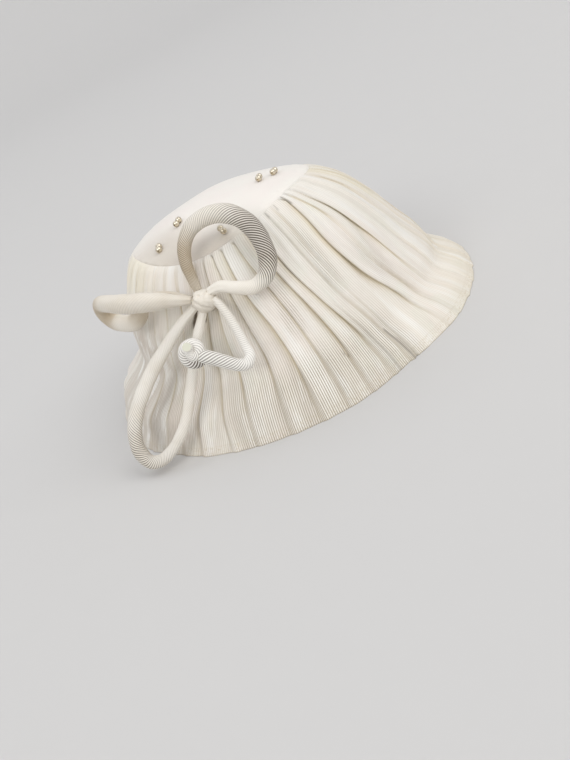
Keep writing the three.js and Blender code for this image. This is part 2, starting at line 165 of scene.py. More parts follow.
@dataclass(frozen=True)
class HatForm:
    """The hat's side without its tucks, the seam of the cap, and the place of the hat's axis.

    Behind the bow the skirt's top is puffed up: the seam rises by `puff_lift`, and the cap's edge turns
    up to meet it.
    """

    axis: tuple[float, float]
    seam_height: float = 93.8
    seam_wave: float = 3.8
    seam_wave_azimuth: float = -5
    seam_back_drop: float = 4.5
    puff_azimuth: float = -115
    puff_half: float = 60
    puff_lift: float = 6.6
    puff_hug: float = 8
    sway_azimuth: float = 47
    dip_top: float = 0.5
    cap_rise: float = 10
    cap_fullness: float = 2.15
    shoulder_drop: float = 1.0
    shoulder_reach: float = 6.5
    shoulder_slope: tuple[float, float] = (-0.5, -0.87)
    levels: tuple[SideLevel, ...] = (
        SideLevel(0, 123.2, 0),
        SideLevel(9, 117.4, -1),
        SideLevel(18.5, 108.6, -5),
        SideLevel(27, 100.6, -0.5),
        SideLevel(35, 94.6, 3),
        SideLevel(44, 91.2, 1.8),
        SideLevel(60, 85.2, -0.8),
        SideLevel(80, 73.6, -3),
        SideLevel(94, 60.2, -6.5),
        SideLevel(101, 50.6, -6.5),
    )
    dips: tuple[RimDip, ...] = (
        RimDip(-17, 22, 3.8),
        RimDip(-92, 14, 1.6),
        RimDip(56, 16, 1.6),
        RimDip(66, 22, 5.2),
    )
    neck: NeckSwell = NeckSwell(28, 36, 24, 11, 3.2)

    def on_compass(self, azimuth: np.ndarray, radius: np.ndarray, height: np.ndarray) -> np.ndarray:
        """Points in the hat's own frame, in millimetres.

        Args:
            azimuth: Degrees round the hat.
            radius: How far they are from the axis.
            height: How far they are above the rim's plane.

        Returns:
            The points, with x, y and z along the last axis.
        """
        turn = np.radians(azimuth)
        parts = np.broadcast_arrays(radius * np.sin(turn), -radius * np.cos(turn), height)
        return np.stack(parts, axis=-1)

    def to_part(self, points: np.ndarray) -> np.ndarray:
        """The part's frame in metres, from the hat's own frame in millimetres."""
        return (points + np.array([*self.axis, 0.0])) * MM

    def level_value(self, column: str, height: np.ndarray) -> np.ndarray:
        """A column of the side's levels at any height."""
        heights, values = np.array([(level.height, getattr(level, column)) for level in self.levels]).T
        return curve_value(heights, values, height)

    def puffed(self, azimuth: np.ndarray) -> np.ndarray:
        """How far the seam is raised by the puff, in millimetres."""
        return self.puff_lift * hump(turned_from(azimuth, self.puff_azimuth), self.puff_half)

    def seam(self, azimuth: np.ndarray) -> np.ndarray:
        """The seam's height: it waves round the hat, drops at the nape and rises with the puff.

        Args:
            azimuth: Degrees round the hat.

        Returns:
            The height in millimetres.
        """
        turn = np.radians(azimuth)
        nape = (1 - np.cos(turn)) / 2
        wave = self.seam_wave * np.cos(2 * (turn - math.radians(self.seam_wave_azimuth)))
        return self.seam_height + wave - self.seam_back_drop * nape**3 + self.puffed(azimuth)

    def side_radius(self, azimuth: np.ndarray, height: np.ndarray) -> np.ndarray:
        """How far the side stands from the axis.

        Args:
            azimuth: Degrees round the hat.
            height: Millimetres above the rim's plane.

        Returns:
            The radius in millimetres, without the tucks.
        """
        dip = sum(place.depth * hump(turned_from(azimuth, place.azimuth), place.half) for place in self.dips)
        dip = dip * (1 - smoothstep(height, 0, self.dip_top * self.seam_height))
        sway = self.level_value("sway", height) * np.cos(np.radians(azimuth - self.sway_azimuth))
        swell = self.neck.out * hump(turned_from(azimuth, self.neck.azimuth), self.neck.half)
        swell = swell * bell(height - self.neck.height, self.neck.spread)
        return self.level_value("radius", height) + sway + swell - dip

    def shoulder(self, azimuth: np.ndarray, away: np.ndarray) -> np.ndarray:
        """How the cloth sinks where it turns over the crown's edge.

        Args:
            azimuth: Degrees round the hat.
            away: Millimetres from the seam, on either side of it.

        Returns:
            The move to be added to a point, in millimetres.
        """
        sunk = self.shoulder_drop * np.clip(1 - away / self.shoulder_reach, 0, 1) ** 2
        inward, downward = self.shoulder_slope
        return self.on_compass(azimuth, inward * sunk, downward * sunk)

    def cap_centre(self) -> np.ndarray:
        """The middle of the cap on the plan."""
        sway = self.level_value("sway", np.array(self.seam_height))
        return self.on_compass(np.array(self.sway_azimuth), sway, np.array(0.0))

    def cap_reach(self, azimuth: np.ndarray, height: np.ndarray, inset: float = 0.0) -> np.ndarray:
        """The way from the cap's middle to the side at a height, less an inset, in millimetres."""
        return self.on_compass(azimuth, self.side_radius(azimuth, height) - inset, height) - self.cap_centre()

    def dome(self, azimuth: np.ndarray, share: np.ndarray) -> np.ndarray:
        """The height of the cap's outer face: a plain dome, turned up at its edge where the skirt is puffed.

        Args:
            azimuth: Degrees round the hat.
            share: 0 at the cap's middle and 1 at the seam.

        Returns:
            The height in millimetres.
        """
        share = np.asarray(share)
        seam = self.seam(azimuth)
        unpuffed = seam - self.puffed(azimuth)
        reaches = (self.cap_reach(azimuth, height)[..., :2] for height in (seam, unpuffed))
        near, far = (np.linalg.norm(reach, axis=-1) for reach in reaches)
        top = self.seam_height + self.cap_rise
        plain, edge = (blend(top, unpuffed, (s * near / far) ** self.cap_fullness) for s in (share, 1))
        return plain + (seam - edge) * share**self.puff_hug

    def cap_point(self, azimuth: np.ndarray, share: np.ndarray, inset: float, drop: np.ndarray) -> np.ndarray:
        """Points of the cap.

        Args:
            azimuth: Degrees round the hat.
            share: 0 at the cap's middle and 1 at the seam.
            inset: How far inside the seam's line the edge is read.
            drop: How far below the cap's outer face.

        Returns:
            Points in the hat's own frame, in millimetres.
        """
        reach = self.cap_reach(azimuth, self.seam(azimuth), inset)
        points = self.cap_centre() + reach * share[..., None]
        points[..., 2] = self.dome(azimuth, share) - drop
        away = (1 - share) * np.linalg.norm(reach[..., :2], axis=-1)
        return points + self.shoulder(azimuth, away)

    def cap_height(self, x: float, y: float) -> float:
        """The height of the cap's outer face above a place on the plan.

        Args:
            x: Millimetres from the axis, towards the wearer's left.
            y: Millimetres from the axis, towards the back.

        Returns:
            The height in millimetres.
        """
        centre = self.cap_centre()
        away = np.array([x - centre[0], y - centre[1]])
        azimuth = np.array(math.degrees(math.atan2(away[0], -away[1])))
        reach = self.cap_reach(azimuth, self.seam(azimuth))
        return float(self.dome(azimuth, np.linalg.norm(away) / np.linalg.norm(reach[:2])))


# ---- Meshes -------------------------------------------------------------------------------------------


@dataclass
class Grid:
    """A skin laid out in rows and columns of points, in metres.

    A row runs round the piece and closes on itself. `closed_rows` says that the last row meets the
    first. Otherwise both ends are closed by a fan.
    """

    points: np.ndarray
    uv: np.ndarray
    closed_rows: bool = False
    values: dict[str, np.ndarray] = field(default_factory=dict)

    def _sides(self) -> tuple[list[list[int]], np.ndarray]:
        """The faces between the rows.

        Returns:
            The faces, and each of their corners' places on the cloth's own map.
        """
        rows, columns = self.points.shape[:2]
        bands = rows if self.closed_rows else rows - 1
        row, column = np.meshgrid(np.arange(bands), np.arange(columns), indexing="ij")
        next_row, next_column = (row + 1) % rows, (column + 1) % columns
        corners = [(row, column), (row, next_column), (next_row, next_column), (next_row, column)]
        faces = np.stack([r * columns + c for r, c in corners], axis=-1).reshape(-1, 4)
        places = [(row, column), (row, column + 1), (row + 1, column + 1), (row + 1, column)]
        return faces.tolist(), np.stack([self.uv[r, c] for r, c in places], axis=-2).reshape(-1, 2)

    def _fan(self, end: int, middle: int) -> tuple[list[list[int]], np.ndarray]:
        """The faces that close one end.

        Args:
            end: The row at that end.
            middle: The number of the point in the middle of the fan.

        Returns:
            The faces, and each of their corners' places on the cloth's own map.
        """
        columns = self.points.shape[1]
        faces = []
        for column in range(columns):
            pair = [end * columns + column, end * columns + (column + 1) % columns]
            faces.append([*(pair if end else reversed(pair)), middle])
        places = np.stack([self.uv[end, :-1], self.uv[end, 1:], self.uv[end, :-1]], axis=1)
        return faces, places.reshape(-1, 2)

    def build(self, name: str) -> Piece:
        """Makes the mesh, with its UV map and its point values.

        Args:
            name: The piece's name.

        Returns:
            The new object, at the origin, with its faces outwards and shaded smooth.
        """
        points = self.points.reshape(-1, 3)
        faces, places = self._sides()
        for end in () if self.closed_rows else (0, len(self.points) - 1):
            fan, fan_places = self._fan(end, len(points))
            points = np.vstack([points, self.points[end].mean(axis=0)])
            faces, places = faces + fan, np.vstack([places, fan_places])
        mesh = bpy.data.meshes.new(name)
        mesh.from_pydata(points.tolist(), [], faces)
        mesh.uv_layers.new(name="cloth").data.foreach_set("uv", places.ravel())
        for key, value in self.values.items():
            every = np.concatenate([value.ravel(), np.zeros(len(points) - value.size)])
            mesh.attributes.new(key, "FLOAT", "POINT").data.foreach_set("value", every)
        self._face_outwards(mesh)
        mesh.polygons.foreach_set("use_smooth", [True] * len(mesh.polygons))
        mesh.update()
        return add_to_scene(name, mesh)

    @staticmethod
    def _face_outwards(mesh: bpy.types.Mesh) -> None:
        """Turns every face of a closed mesh if it encloses a negative volume.

        Args:
            mesh: The mesh, closed all round.
        """
        shell = bmesh.new()
        shell.from_mesh(mesh)
        if shell.calc_volume(signed=True) < 0:
            bmesh.ops.reverse_faces(shell, faces=shell.faces)
            shell.to_mesh(mesh)
        shell.free()


def add_to_scene(name: str, data: bpy.types.ID) -> Piece:
    """Makes an object at the origin.

    Args:
        name: The object's name.
        data: The mesh, light or camera that it holds.

    Returns:
        The new object.
    """
    made = bpy.data.objects.new(name, data)
    bpy.context.scene.collection.objects.link(made)
    return made


def deselect_everything() -> None:
    """Leaves object mode with nothing selected and nothing active."""
    if bpy.context.object is not None and bpy.context.object.mode != "OBJECT":
        bpy.ops.object.mode_set(mode="OBJECT")
    bpy.ops.object.select_all(action="DESELECT")
    bpy.context.view_layer.objects.active = None


def apply_placement(piece: Piece) -> None:
    """Moves an object's placement into its mesh, so that the object sits at the origin."""
    piece.data.transform(piece.matrix_basis)
    piece.matrix_basis = Matrix.Identity(4)


def dress(piece: Piece, material: Material) -> None:
    """Gives a piece its only material."""
    piece.data.materials.clear()
    piece.data.materials.append(material)


def stand_for(piece: Piece, node: str, material: Material) -> None:
    """Dresses a piece and puts it in the place of its solid.

    Args:
        piece: The new piece.
        node: The solid that it stands for.
        material: Its finish.
    """
    dress(piece, material)
    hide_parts(node)
    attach(piece, BODY)


# ---- Shader wiring ------------------------------------------------------------------------------------


class Wire:
    """An output socket. Arithmetic on it adds Math nodes to its material."""

    def __init__(self, sketch: "Sketch", socket: bpy.types.NodeSocket) -> None:
        """Wraps one socket of a sketch."""
        self.sketch = sketch
        self.socket = socket

    def _maths(self, operation: str, first: "Term", second: "Term" = 0.0) -> "Wire":
        """The output of one Math node."""
        return self.sketch.output("ShaderNodeMath", 0, {"operation": operation}, {0: first, 1: second})

    def __add__(self, other: "Term") -> "Wire":
        """Sum."""
        return self._maths("ADD", self, other)

    __radd__ = __add__

    def __sub__(self, other: "Term") -> "Wire":
        """Difference."""
        return self._maths("SUBTRACT", self, other)

    def __rsub__(self, other: "Term") -> "Wire":
        """Difference from a number."""
        return self._maths("SUBTRACT", other, self)

    def __mul__(self, other: "Term") -> "Wire":
        """Product."""
        return self._maths("MULTIPLY", self, other)

    __rmul__ = __mul__

    def __pow__(self, other: "Term") -> "Wire":
        """Power."""
        return self._maths("POWER", self, other)

    def __abs__(self) -> "Wire":
        """Size without sign."""
        return self._maths("ABSOLUTE", self)

    def sine(self) -> "Wire":
        """Sine of an angle in radians."""
        return self._maths("SINE", self)

    def ease(self, low: float, high: float) -> "Wire":
        """Eases from 0 at `low` to 1 at `high`, which may be the lower of the two."""
        ends = {"Value": self, "From Min": low, "From Max": high}
        return self.sketch.output("ShaderNodeMapRange", "Result", {"interpolation_type": "SMOOTHSTEP"}, ends)


Term = Union[Wire, float]
Paint = Union[Wire, Colour]
Settings = Mapping[str, object]
Sockets = Mapping[Union[str, int], Union[Wire, float, Sequence[float]]]


class Sketch:
    """The node tree of one material, with a Principled shader at its end."""

    def __init__(self, name: str) -> None:
        """Starts an empty material.

        Args:
            name: The material's name.
        """
        self.material = bpy.data.materials.new(name)
        self.material.use_nodes = True
        self.tree = self.material.node_tree
        self.tree.nodes.clear()
        self.shader = self.node("ShaderNodeBsdfPrincipled")
        self.node("ShaderNodeOutputMaterial", None, {"Surface": Wire(self, self.shader.outputs[0])})

    def node(self, kind: str, settings: Settings | None = None,
             sockets: Sockets | None = None) -> bpy.types.Node:
        """Adds one node.

        Args:
            kind: The node's type.
            settings: Its properties, which are set first.
            sockets: A value or a link for each named or numbered input.

        Returns:
            The node.
        """
        made = self.tree.nodes.new(kind)
        for key, value in (settings or {}).items():
            setattr(made, key, value)
        self.fill(made, sockets or {})
        return made

    def fill(self, node: bpy.types.Node, sockets: Sockets) -> None:
        """Gives a node's inputs their values or links.

        Args:
            node: The node.
            sockets: A value or a link for each named or numbered input.
        """
        for key, value in sockets.items():
            if isinstance(value, Wire):
                self.tree.links.new(value.socket, node.inputs[key])
            else:
                node.inputs[key].default_value = value

    def output(self, kind: str, name: Union[str, int], settings: Settings | None = None,
               sockets: Sockets | None = None) -> Wire:
        """One output, named or numbered, of a new node."""
        return Wire(self, self.node(kind, settings, sockets).outputs[name])

    def place(self) -> Wire:
        """Object coordinates."""
        return self.output("ShaderNodeTexCoord", "Object")

    def cloth_map(self) -> tuple[Wire, Wire]:
        """The piece's own UV map.

        Returns:
            Its two directions.
        """
        uv = self.output("ShaderNodeUVMap", "UV", {"uv_map": "cloth"})
        split = self.node("ShaderNodeSeparateXYZ", None, {0: uv})
        return Wire(self, split.outputs[0]), Wire(self, split.outputs[1])

    def value(self, name: str) -> Wire:
        """A point value that the mesh carries."""
        return self.output("ShaderNodeAttribute", "Fac", {"attribute_name": name})

    def spot(self, x: Term, y: Term, z: Term = 0.0) -> Wire:
        """A vector from three numbers."""
        return self.output("ShaderNodeCombineXYZ", 0, None, {0: x, 1: y, 2: z})

    def grain(self, where: Wire, scale: float, detail: float = 2.0, rough: float = 0.5) -> Wire:
        """Soft noise from 0 to 1, with `detail` finer layers that are `rough` strong."""
        sockets = {"Vector": where, "Scale": scale, "Detail": detail, "Roughness": rough}
        return self.output("ShaderNodeTexNoise", "Fac", None, sockets)

    def mix(self, share: Term, low: Paint, high: Paint) -> Wire:
        """A colour between two others."""
        return self.output("ShaderNodeMix", 2, {"data_type": "RGBA"}, {0: share, 6: low, 7: high})

    def bump(self, height: Wire, distance: float) -> Wire:
        """A normal bent by a height from 0 to 1, where 1 stands for a distance in metres."""
        return self.output("ShaderNodeBump", 0, None, {"Height": height, "Distance": distance})

    def finish(self, sockets: Sockets) -> Material:
        """Sets the shader's own sockets and hands the material over."""
        self.fill(self.shader, sockets)
        return self.material

    def silk(self, colour: Wire, roughness: Wire, normal: Wire, sheen: float, gloss: float) -> Material:
        """The material with the soft sheen of silk."""
        soft = {"Sheen Weight": sheen, "Sheen Roughness": 0.4, "Specular IOR Level": gloss}
        return self.finish({"Base Color": colour, "Roughness": roughness, "Normal": normal, **soft})


# ---- Finishes -----------------------------------------------------------------------------------------


@dataclass(frozen=True)
class Threads:
    """Noise drawn out along the cords: how fine it is across and along them, and where it starts."""

    across: float
    down: float
    start: float = 0.0
    detail: float = 3.0
    rough: float = 0.5

    def read(self, across: Wire, down: Wire) -> Wire:
        """The noise on the cloth's own map."""
        where = across.sketch.spot(across * self.across, down * self.down, self.start)
        return across.sketch.grain(where, 1.0, self.detail, self.rough)


@dataclass(frozen=True)
class Tint:
    """A colour laid over the cloth where a pattern goes from one value to another.

    `strength` says how much of it shows anywhere, and the last weight how much more on grime and painted
    shade.
    """

    colour: Colour
    start: float
    full: float
    strength: float = 0.0
    grime_and_shade_gain: float = 0.0

    def over(self, under: Paint, pattern: Wire, grime_and_shade: Term = 0.0) -> Wire:
        """The colour under it with this one laid over, the more where the cloth carries grime and painted
        shade.
        """
        share = pattern.ease(self.start, self.full) * (self.strength + self.grime_and_shade_gain * grime_and_shade)
        return pattern.sketch.mix(share, under, self.colour)


CREAM_GREY: Colour = (0.60, 0.545, 0.48, 1)
CREAM_WHITE: Colour = (0.885, 0.872, 0.83, 1)


@dataclass(frozen=True)
class SkirtSilk:
    """Corded silk on the skirt: fine upright cords, painted shade in the tucks, creases, gaps and cord
    grooves, a yellowed hem.
    """

    cord_pitch: float
    name: str = "ribbed_silk"
    cream: Colour = (0.83, 0.795, 0.72, 1)
    # painted shade in the grooves between the cords
    groove_shade: Colour = (0.38, 0.315, 0.225, 1)
    tuck_shade: Colour = (0.58, 0.48, 0.29, 1)
    # painted shade beside the folds, low on the skirt
    crease: Colour = (0.49, 0.43, 0.35, 1)
    # the hem's stitches and edge, with painted shade along its step
    stitch_and_shade: Colour = (0.62, 0.54, 0.40, 1)
    aged: Colour = (0.81, 0.735, 0.55, 1)
    # painted shadow in the dark gaps between tucks
    gap_shadow: Colour = (0.11, 0.08, 0.045, 1)
    rosy: Tint = Tint((0.845, 0.775, 0.715, 1), 0.36, 0.66, 0.7)
    mossy: Tint = Tint((0.795, 0.79, 0.70, 1), 0.5, 0.72, 0.6)
    # grey smudges, with painted shade where the cloth is greyed
    smudged_and_shaded: Tint = Tint(CREAM_GREY, 0.42, 0.82, 0.16, 0.7)
    streaked: Tint = Tint(CREAM_GREY, 0.4, 0.85, 0.18)
    bleached: Tint = Tint(CREAM_WHITE, 0.52, 0.28, 0.72)
    blotched: Tint = Tint(CREAM_GREY, 0.5, 0.7, grime_and_shade_gain=0.75)
    rubbed: Tint = Tint(CREAM_WHITE, 0.48, 0.32, 0.15, 1.0)
    streaks: Threads = Threads(520, 16)
    bands: Threads = Threads(95, 13, 4.0, rough=0.55)
    slubs: Threads = Threads(240, 70, rough=0.6)
    blotches: Threads = Threads(170, 34, 9.0, rough=0.55)
    stitches: Threads = Threads(900, 700, detail=2.0)
    hem_line: float = 0.0056
    cord_relief: float = 0.00028

    def make(self) -> Material:
        """Makes the finish.

        Returns:
            The material.
        """
        sketch = Sketch(self.name)
        across, down = sketch.cloth_map()
        cord = abs((across * (math.pi / self.cord_pitch)).sine())
        noises = (self.streaks, self.bands, self.slubs)
        streak, band, slub = (noise.read(across, down) for noise in noises)
        colour = self._cloth(sketch, streak)
        colour = self._grime_and_painted_shade(sketch, colour, streak, band, self.blotches.read(across, down))
        # painted shade beside the folds, low on the skirt
        crease_shaded = sketch.value("crease_shaded") * (0.25 + 0.8 * band)
        colour = sketch.mix(crease_shaded, colour, self.crease)
        # painted shade in the tucks
        colour = sketch.mix(sketch.value("tucked") * 0.86, colour, self.tuck_shade)
        colour = self._hem(colour, across, down)
        cord_depth_and_shade = sketch.value("cord_depth_and_shade")
        # painted shade in the cords' grooves, with deeper relief, where the cords show more
        valley = (1 - cord).ease(0.12, 0.85)
        colour = sketch.mix(valley * cord_depth_and_shade * (0.45 + 0.9 * slub), colour, self.groove_shade)
        # painted shadow in the dark gaps between tucks
        colour = sketch.mix(sketch.value("gap_shadowed"), colour, self.gap_shadow)
        relief = cord**0.7 * (0.1 + 0.9 * cord_depth_and_shade) + 0.18 * slub + 0.10 * streak
        return sketch.silk(colour, 0.52 + 0.2 * streak, sketch.bump(relief, self.cord_relief), 0.12, 0.35)

    def _cloth(self, sketch: Sketch, streak: Wire) -> Wire:
        """The cloth's own colours: rosy and mossy patches, yellowed in streaks where it has aged.

        Args:
            sketch: The material's node tree.
            streak: The fine streaks along the cords.

        Returns:
            The colour.
        """
        place = sketch.place()
        colour = self.rosy.over(self.cream, sketch.grain(place, 26.0, 3.0, 0.55))
        colour = self.mossy.over(colour, sketch.grain(place, 60.0))
        return sketch.mix(sketch.value("aged") * (0.35 + 0.9 * streak), colour, self.aged)

    def _grime_and_painted_shade(self, sketch: Sketch, colour: Wire, streak: Wire, band: Wire, blotch: Wire) -> Wire:
        """Greys the cloth with grime and painted shade, and lets paler cords show between.

        Args:
            sketch: The material's node tree.
            colour: The cloth's colour so far.
            streak: The fine streaks along the cords.
            band: The broad ones.
            blotch: The short ones.

        Returns:
            The colour with grime, painted shade and paler streaks.
        """
        # grime with painted shade: the loops' shadows and the darker sides
        grime_and_shade = sketch.value("grime_and_shade")
        colour = self.smudged_and_shaded.over(colour, band + 0.25 * grime_and_shade, grime_and_shade)
        colour = self.streaked.over(colour, streak)
        colour = self.bleached.over(colour, band)
        colour = self.blotched.over(colour, blotch, grime_and_shade)
        return self.rubbed.over(colour, blotch, grime_and_shade)

    def _hem(self, colour: Wire, across: Wire, down: Wire) -> Wire:
        """Marks the turned hem: painted shade in a thin line along its step, specks where its stitches catch
        the cords, and a rubbed, darker edge.

        Args:
            colour: The cloth's colour so far.
            across: The place across the cloth, in metres.
            down: The height above the rim along the cloth, in metres.

        Returns:
            The colour with the hem.
        """
        # painted shade in a thin line along the hem's step
        line = abs(down - self.hem_line).ease(0.0006, 0.0001) * 0.14
        caught = down.ease(0.0062, 0.0048) * self.stitches.read(across, down).ease(0.5, 0.68) * 0.55
        edge = down.ease(0.0016, 0.0002) * 0.3
        return down.sketch.mix(line + caught + edge, colour, self.stitch_and_shade)


@dataclass(frozen=True)
class CapSilk:
    """The smooth pressed silk of the cap, whose cords hardly show."""

    name: str = "cap_silk"
    cream: Colour = (0.84, 0.805, 0.74, 1)
    # painted shade in the valleys between the cords
    groove_shade: Colour = (0.55, 0.48, 0.38, 1)
    # painted shade under the top loop and on the cap's left side
    painted_shade: Colour = (0.57, 0.51, 0.43, 1)
    rosy: Tint = Tint((0.85, 0.775, 0.725, 1), 0.4, 0.7, 0.6)
    slubs: Threads = Threads(700, 60)
    cord_pitch: float = 0.0011
    cord_relief: float = 0.00005

    def make(self) -> Material:
        """Makes the finish.

        Returns:
            The material.
        """
        sketch = Sketch(self.name)
        across, down = sketch.cloth_map()
        cord = abs((across * (math.pi / self.cord_pitch)).sine())
        slub = self.slubs.read(across, down)
        patch = sketch.grain(sketch.place(), 34.0, 3.0)
        colour = self.rosy.over(self.cream, patch)
        # painted shade in the valleys between the cords
        colour = sketch.mix((1 - cord) ** 2 * 0.12, colour, self.groove_shade)
        # painted shade under the top loop and on the cap's left side
        colour = sketch.mix(sketch.value("grime_and_shade") * (0.5 + 0.6 * patch), colour, self.painted_shade)
        normal = sketch.bump(cord + 0.6 * slub, self.cord_relief)
        return sketch.silk(colour, 0.46 + 0.2 * slub, normal, 0.15, 0.4)


@dataclass(frozen=True)
class TubingSilk:
    """Corded silk cut on the cross for the tubing: its cords wind round, with painted shade in the gaps where
    they open.
    """

    name: str = "silk_tubing"
    cream: Colour = (0.84, 0.80, 0.725, 1)
    dull: Tint = Tint((0.76, 0.70, 0.60, 1), 0.35, 0.7, 0.5)
    whiter: Tint = Tint((0.89, 0.87, 0.825, 1), 0.0, -1.0, 0.85)
    # soil, and painted shade on the loops' shaded sides
    soil_and_shade_colour: Colour = (0.47, 0.38, 0.26, 1)
    # painted shade in the gaps between the cords
    groove_shade: Colour = (0.085, 0.062, 0.042, 1)
    filling: Colour = (0.62, 0.63, 0.50, 1)
    threads: Threads = Threads(1.5, 900, detail=2.0)
    cord_relief: float = 0.0002

    def make(self) -> Material:
        """Makes the finish.

        Returns:
            The material.
        """
        sketch = Sketch(self.name)
        phase, along = sketch.cloth_map()
        cord = abs((phase * math.pi).sine())
        opened, corded, soil_and_shade = (sketch.value(name) for name in ("opened", "corded", "soil_and_shade"))
        patch = sketch.grain(sketch.place(), 70.0, 3.0)
        colour = self.dull.over(self.cream, patch)
        # soil with painted shade, and paler silk where the value is below 0
        colour = sketch.mix(soil_and_shade.ease(0.0, 1.2) * (0.5 + 0.8 * patch), colour, self.soil_and_shade_colour)
        colour = self.whiter.over(colour, soil_and_shade)
        # painted shade in the gaps between the cords, deeper where they are opened
        gap = (1 - cord + 0.5 * opened).ease(0.4, 0.95)
        colour = sketch.mix(gap * (0.05 + 0.9 * opened) * corded, colour, self.groove_shade)
        colour = sketch.mix((1 - corded) * 0.75, colour, self.filling)
        relief = cord**0.8 * 0.5 * corded * (0.25 + 0.75 * opened) + 0.3 * self.threads.read(phase, along)
        return sketch.silk(colour, 0.5 + 0.2 * patch, sketch.bump(relief, self.cord_relief), 0.15, 0.35)


@dataclass(frozen=True)
class BeadMetal:
    """Pale gilt metal of the beads, a little tarnished."""

    name: str = "bead_metal"
    gilt: Colour = (0.72, 0.65, 0.52, 1)
    tarnished: Tint = Tint((0.33, 0.28, 0.20, 1), 0.5, 0.75, 0.7)
    fineness: float = 900.0
    relief: float = 0.00004

    def make(self) -> Material:
        """Makes the finish.

        Returns:
            The material.
        """
        sketch = Sketch(self.name)
        patch = sketch.grain(sketch.place(), self.fineness, 3.0)
        return sketch.finish(
            {
                "Base Color": self.tarnished.over(self.gilt, patch),
                "Metallic": 1.0,
                "Roughness": 0.2 + 0.25 * patch,
                "Normal": sketch.bump(patch, self.relief),
            }
        )


@dataclass(frozen=True)
class PaleFloor:
    """The plain matt paper that the hat stands on."""

    name: str = "pale_floor"
    paper: Colour = (0.60, 0.59, 0.575, 1)
    fibre: Colour = (0.57, 0.56, 0.545, 1)
    fineness: float = 40.0

    def make(self) -> Material:
        """Makes the finish.

        Returns:
            The material.
        """
        sketch = Sketch(self.name)
        colour = sketch.mix(sketch.grain(sketch.place(), self.fineness) * 0.2, self.paper, self.fibre)
        return sketch.finish({"Base Color": colour, "Roughness": 0.9, "Specular IOR Level": 0.1})


# ---- Marks on the cloth -------------------------------------------------------------------------------


@dataclass(frozen=True)
class Stain:
    """A mark on the cloth. Left to itself it goes all round the hat, and all the way up.

    `spread` is its reach in degrees to either side of `azimuth`. As a share of the height it starts at
    `fades` and is whole at `full`, which may be the lower of the two.
    """

    strength: float
    azimuth: float = 0
    spread: float = math.inf
    fades: float = -1
    full: float = 0

    def at(self, azimuth: np.ndarray, share: np.ndarray) -> np.ndarray:
        """How strong the mark is at each point."""
        across = bell(turned_from(azimuth, self.azimuth), self.spread)
        return self.strength * across * smoothstep(share, self.fades, self.full)


def stained(stains: Sequence[Stain], azimuth: np.ndarray, share: np.ndarray) -> np.ndarray:
    """How strongly the cloth is marked at each point by several stains, from 0 to 1."""
    return np.clip(sum(stain.at(azimuth, share) for stain in stains), 0, 1)


YELLOWED = (
    Stain(0.12, fades=0.5, full=0),
    Stain(0.12, 38, 30),
    Stain(0.42, 38, 30, 0.5, 0),
    Stain(1.1, 42, 10, 0.5, 0.8),
    Stain(0.75, -118, 20, 0.72, 0.9),
)
# grey over the skirt, partly grime and partly painted shade: all round, under the lower loop on the left, and
# low in the front
GRIME_AND_SHADE = (
    Stain(0.1),
    Stain(1.1, -112, 22, 0.9, 0.45),
    Stain(0.4, -50, 38, 0.5, 0.1),
)
# painted shade on the cap: beside the bow under the top loop, and on its left side
CAP_GRIME_AND_SHADE = (
    Stain(0.45, -54, 17, 0.7, 0.95),
    Stain(1.0, -95, 38, 0.3, 0.8),
)


@dataclass(frozen=True)
class OpenCords:
    """A stretch of the skirt whose cords show more, in relief and painted groove shade: where it lies, and
    how strongly they show.
    """

    azimuth: float
    half: float
    low: float
    high: float
    strength: float

    def at(self, azimuth: np.ndarray, share: np.ndarray) -> np.ndarray:
        """How much more the cords show at each point.

        Args:
            azimuth: Degrees round the hat.
            share: Shares of the height.

        Returns:
            The strength, which fades out round the stretch.
        """
        fade = 0.35 * (self.high - self.low)
        level = smoothstep(share, self.low, self.low + fade) * smoothstep(share, self.high, self.high - fade)
        away = np.abs(turned_from(azimuth, self.azimuth))
        return self.strength * level * smoothstep(away, self.half, 0.55 * self.half)


OPEN_CORDS = (
    OpenCords(-20.5, 4.0, 0.42, 0.97, 0.47),
    OpenCords(-46.0, 30.0, -0.3, 0.42, 0.85),
    OpenCords(-18.0, 7.0, -0.2, 0.36, 0.55),
    OpenCords(-41.0, 4.0, 0.35, 0.75, 0.4),
    OpenCords(-2.0, 5.0, 0.3, 0.72, 0.3),
    OpenCords(-96.0, 26.0, -0.3, 0.6, 0.35),
    OpenCords(-104.0, 38.0, 0.62, 1.4, -0.22),
)


@dataclass(frozen=True)
class GapShadow:
    """Painted shadow in a dark gap between tucks: its two ends, half its width in millimetres, and how dark
    it is.

    An end is an azimuth and a share of the height.
    """

    upper: tuple[float, float]
    lower: tuple[float, float]
    half: float
    dark: float = 1.0

    def at(self, azimuth: np.ndarray, share: np.ndarray, scale: tuple[float, float]) -> np.ndarray:
        """How deep in the gap each point lies.

        Args:
            azimuth: Degrees round the hat.
            share: Shares of the height.
            scale: Millimetres in one degree, and in the whole height.

        Returns:
            The depth, from 0 to how dark the gap is.
        """
        place = np.stack(np.broadcast_arrays(azimuth, share), axis=-1) * scale
        upper, lower = np.array(self.upper) * scale, np.array(self.lower) * scale
        way = lower - upper
        passed = np.clip((place - upper) @ way / (way @ way), 0, 1)
        away = np.linalg.norm(place - upper - passed[..., None] * way, axis=-1)
        return self.dark * smoothstep(away, 1.4 * self.half, 0.3 * self.half)


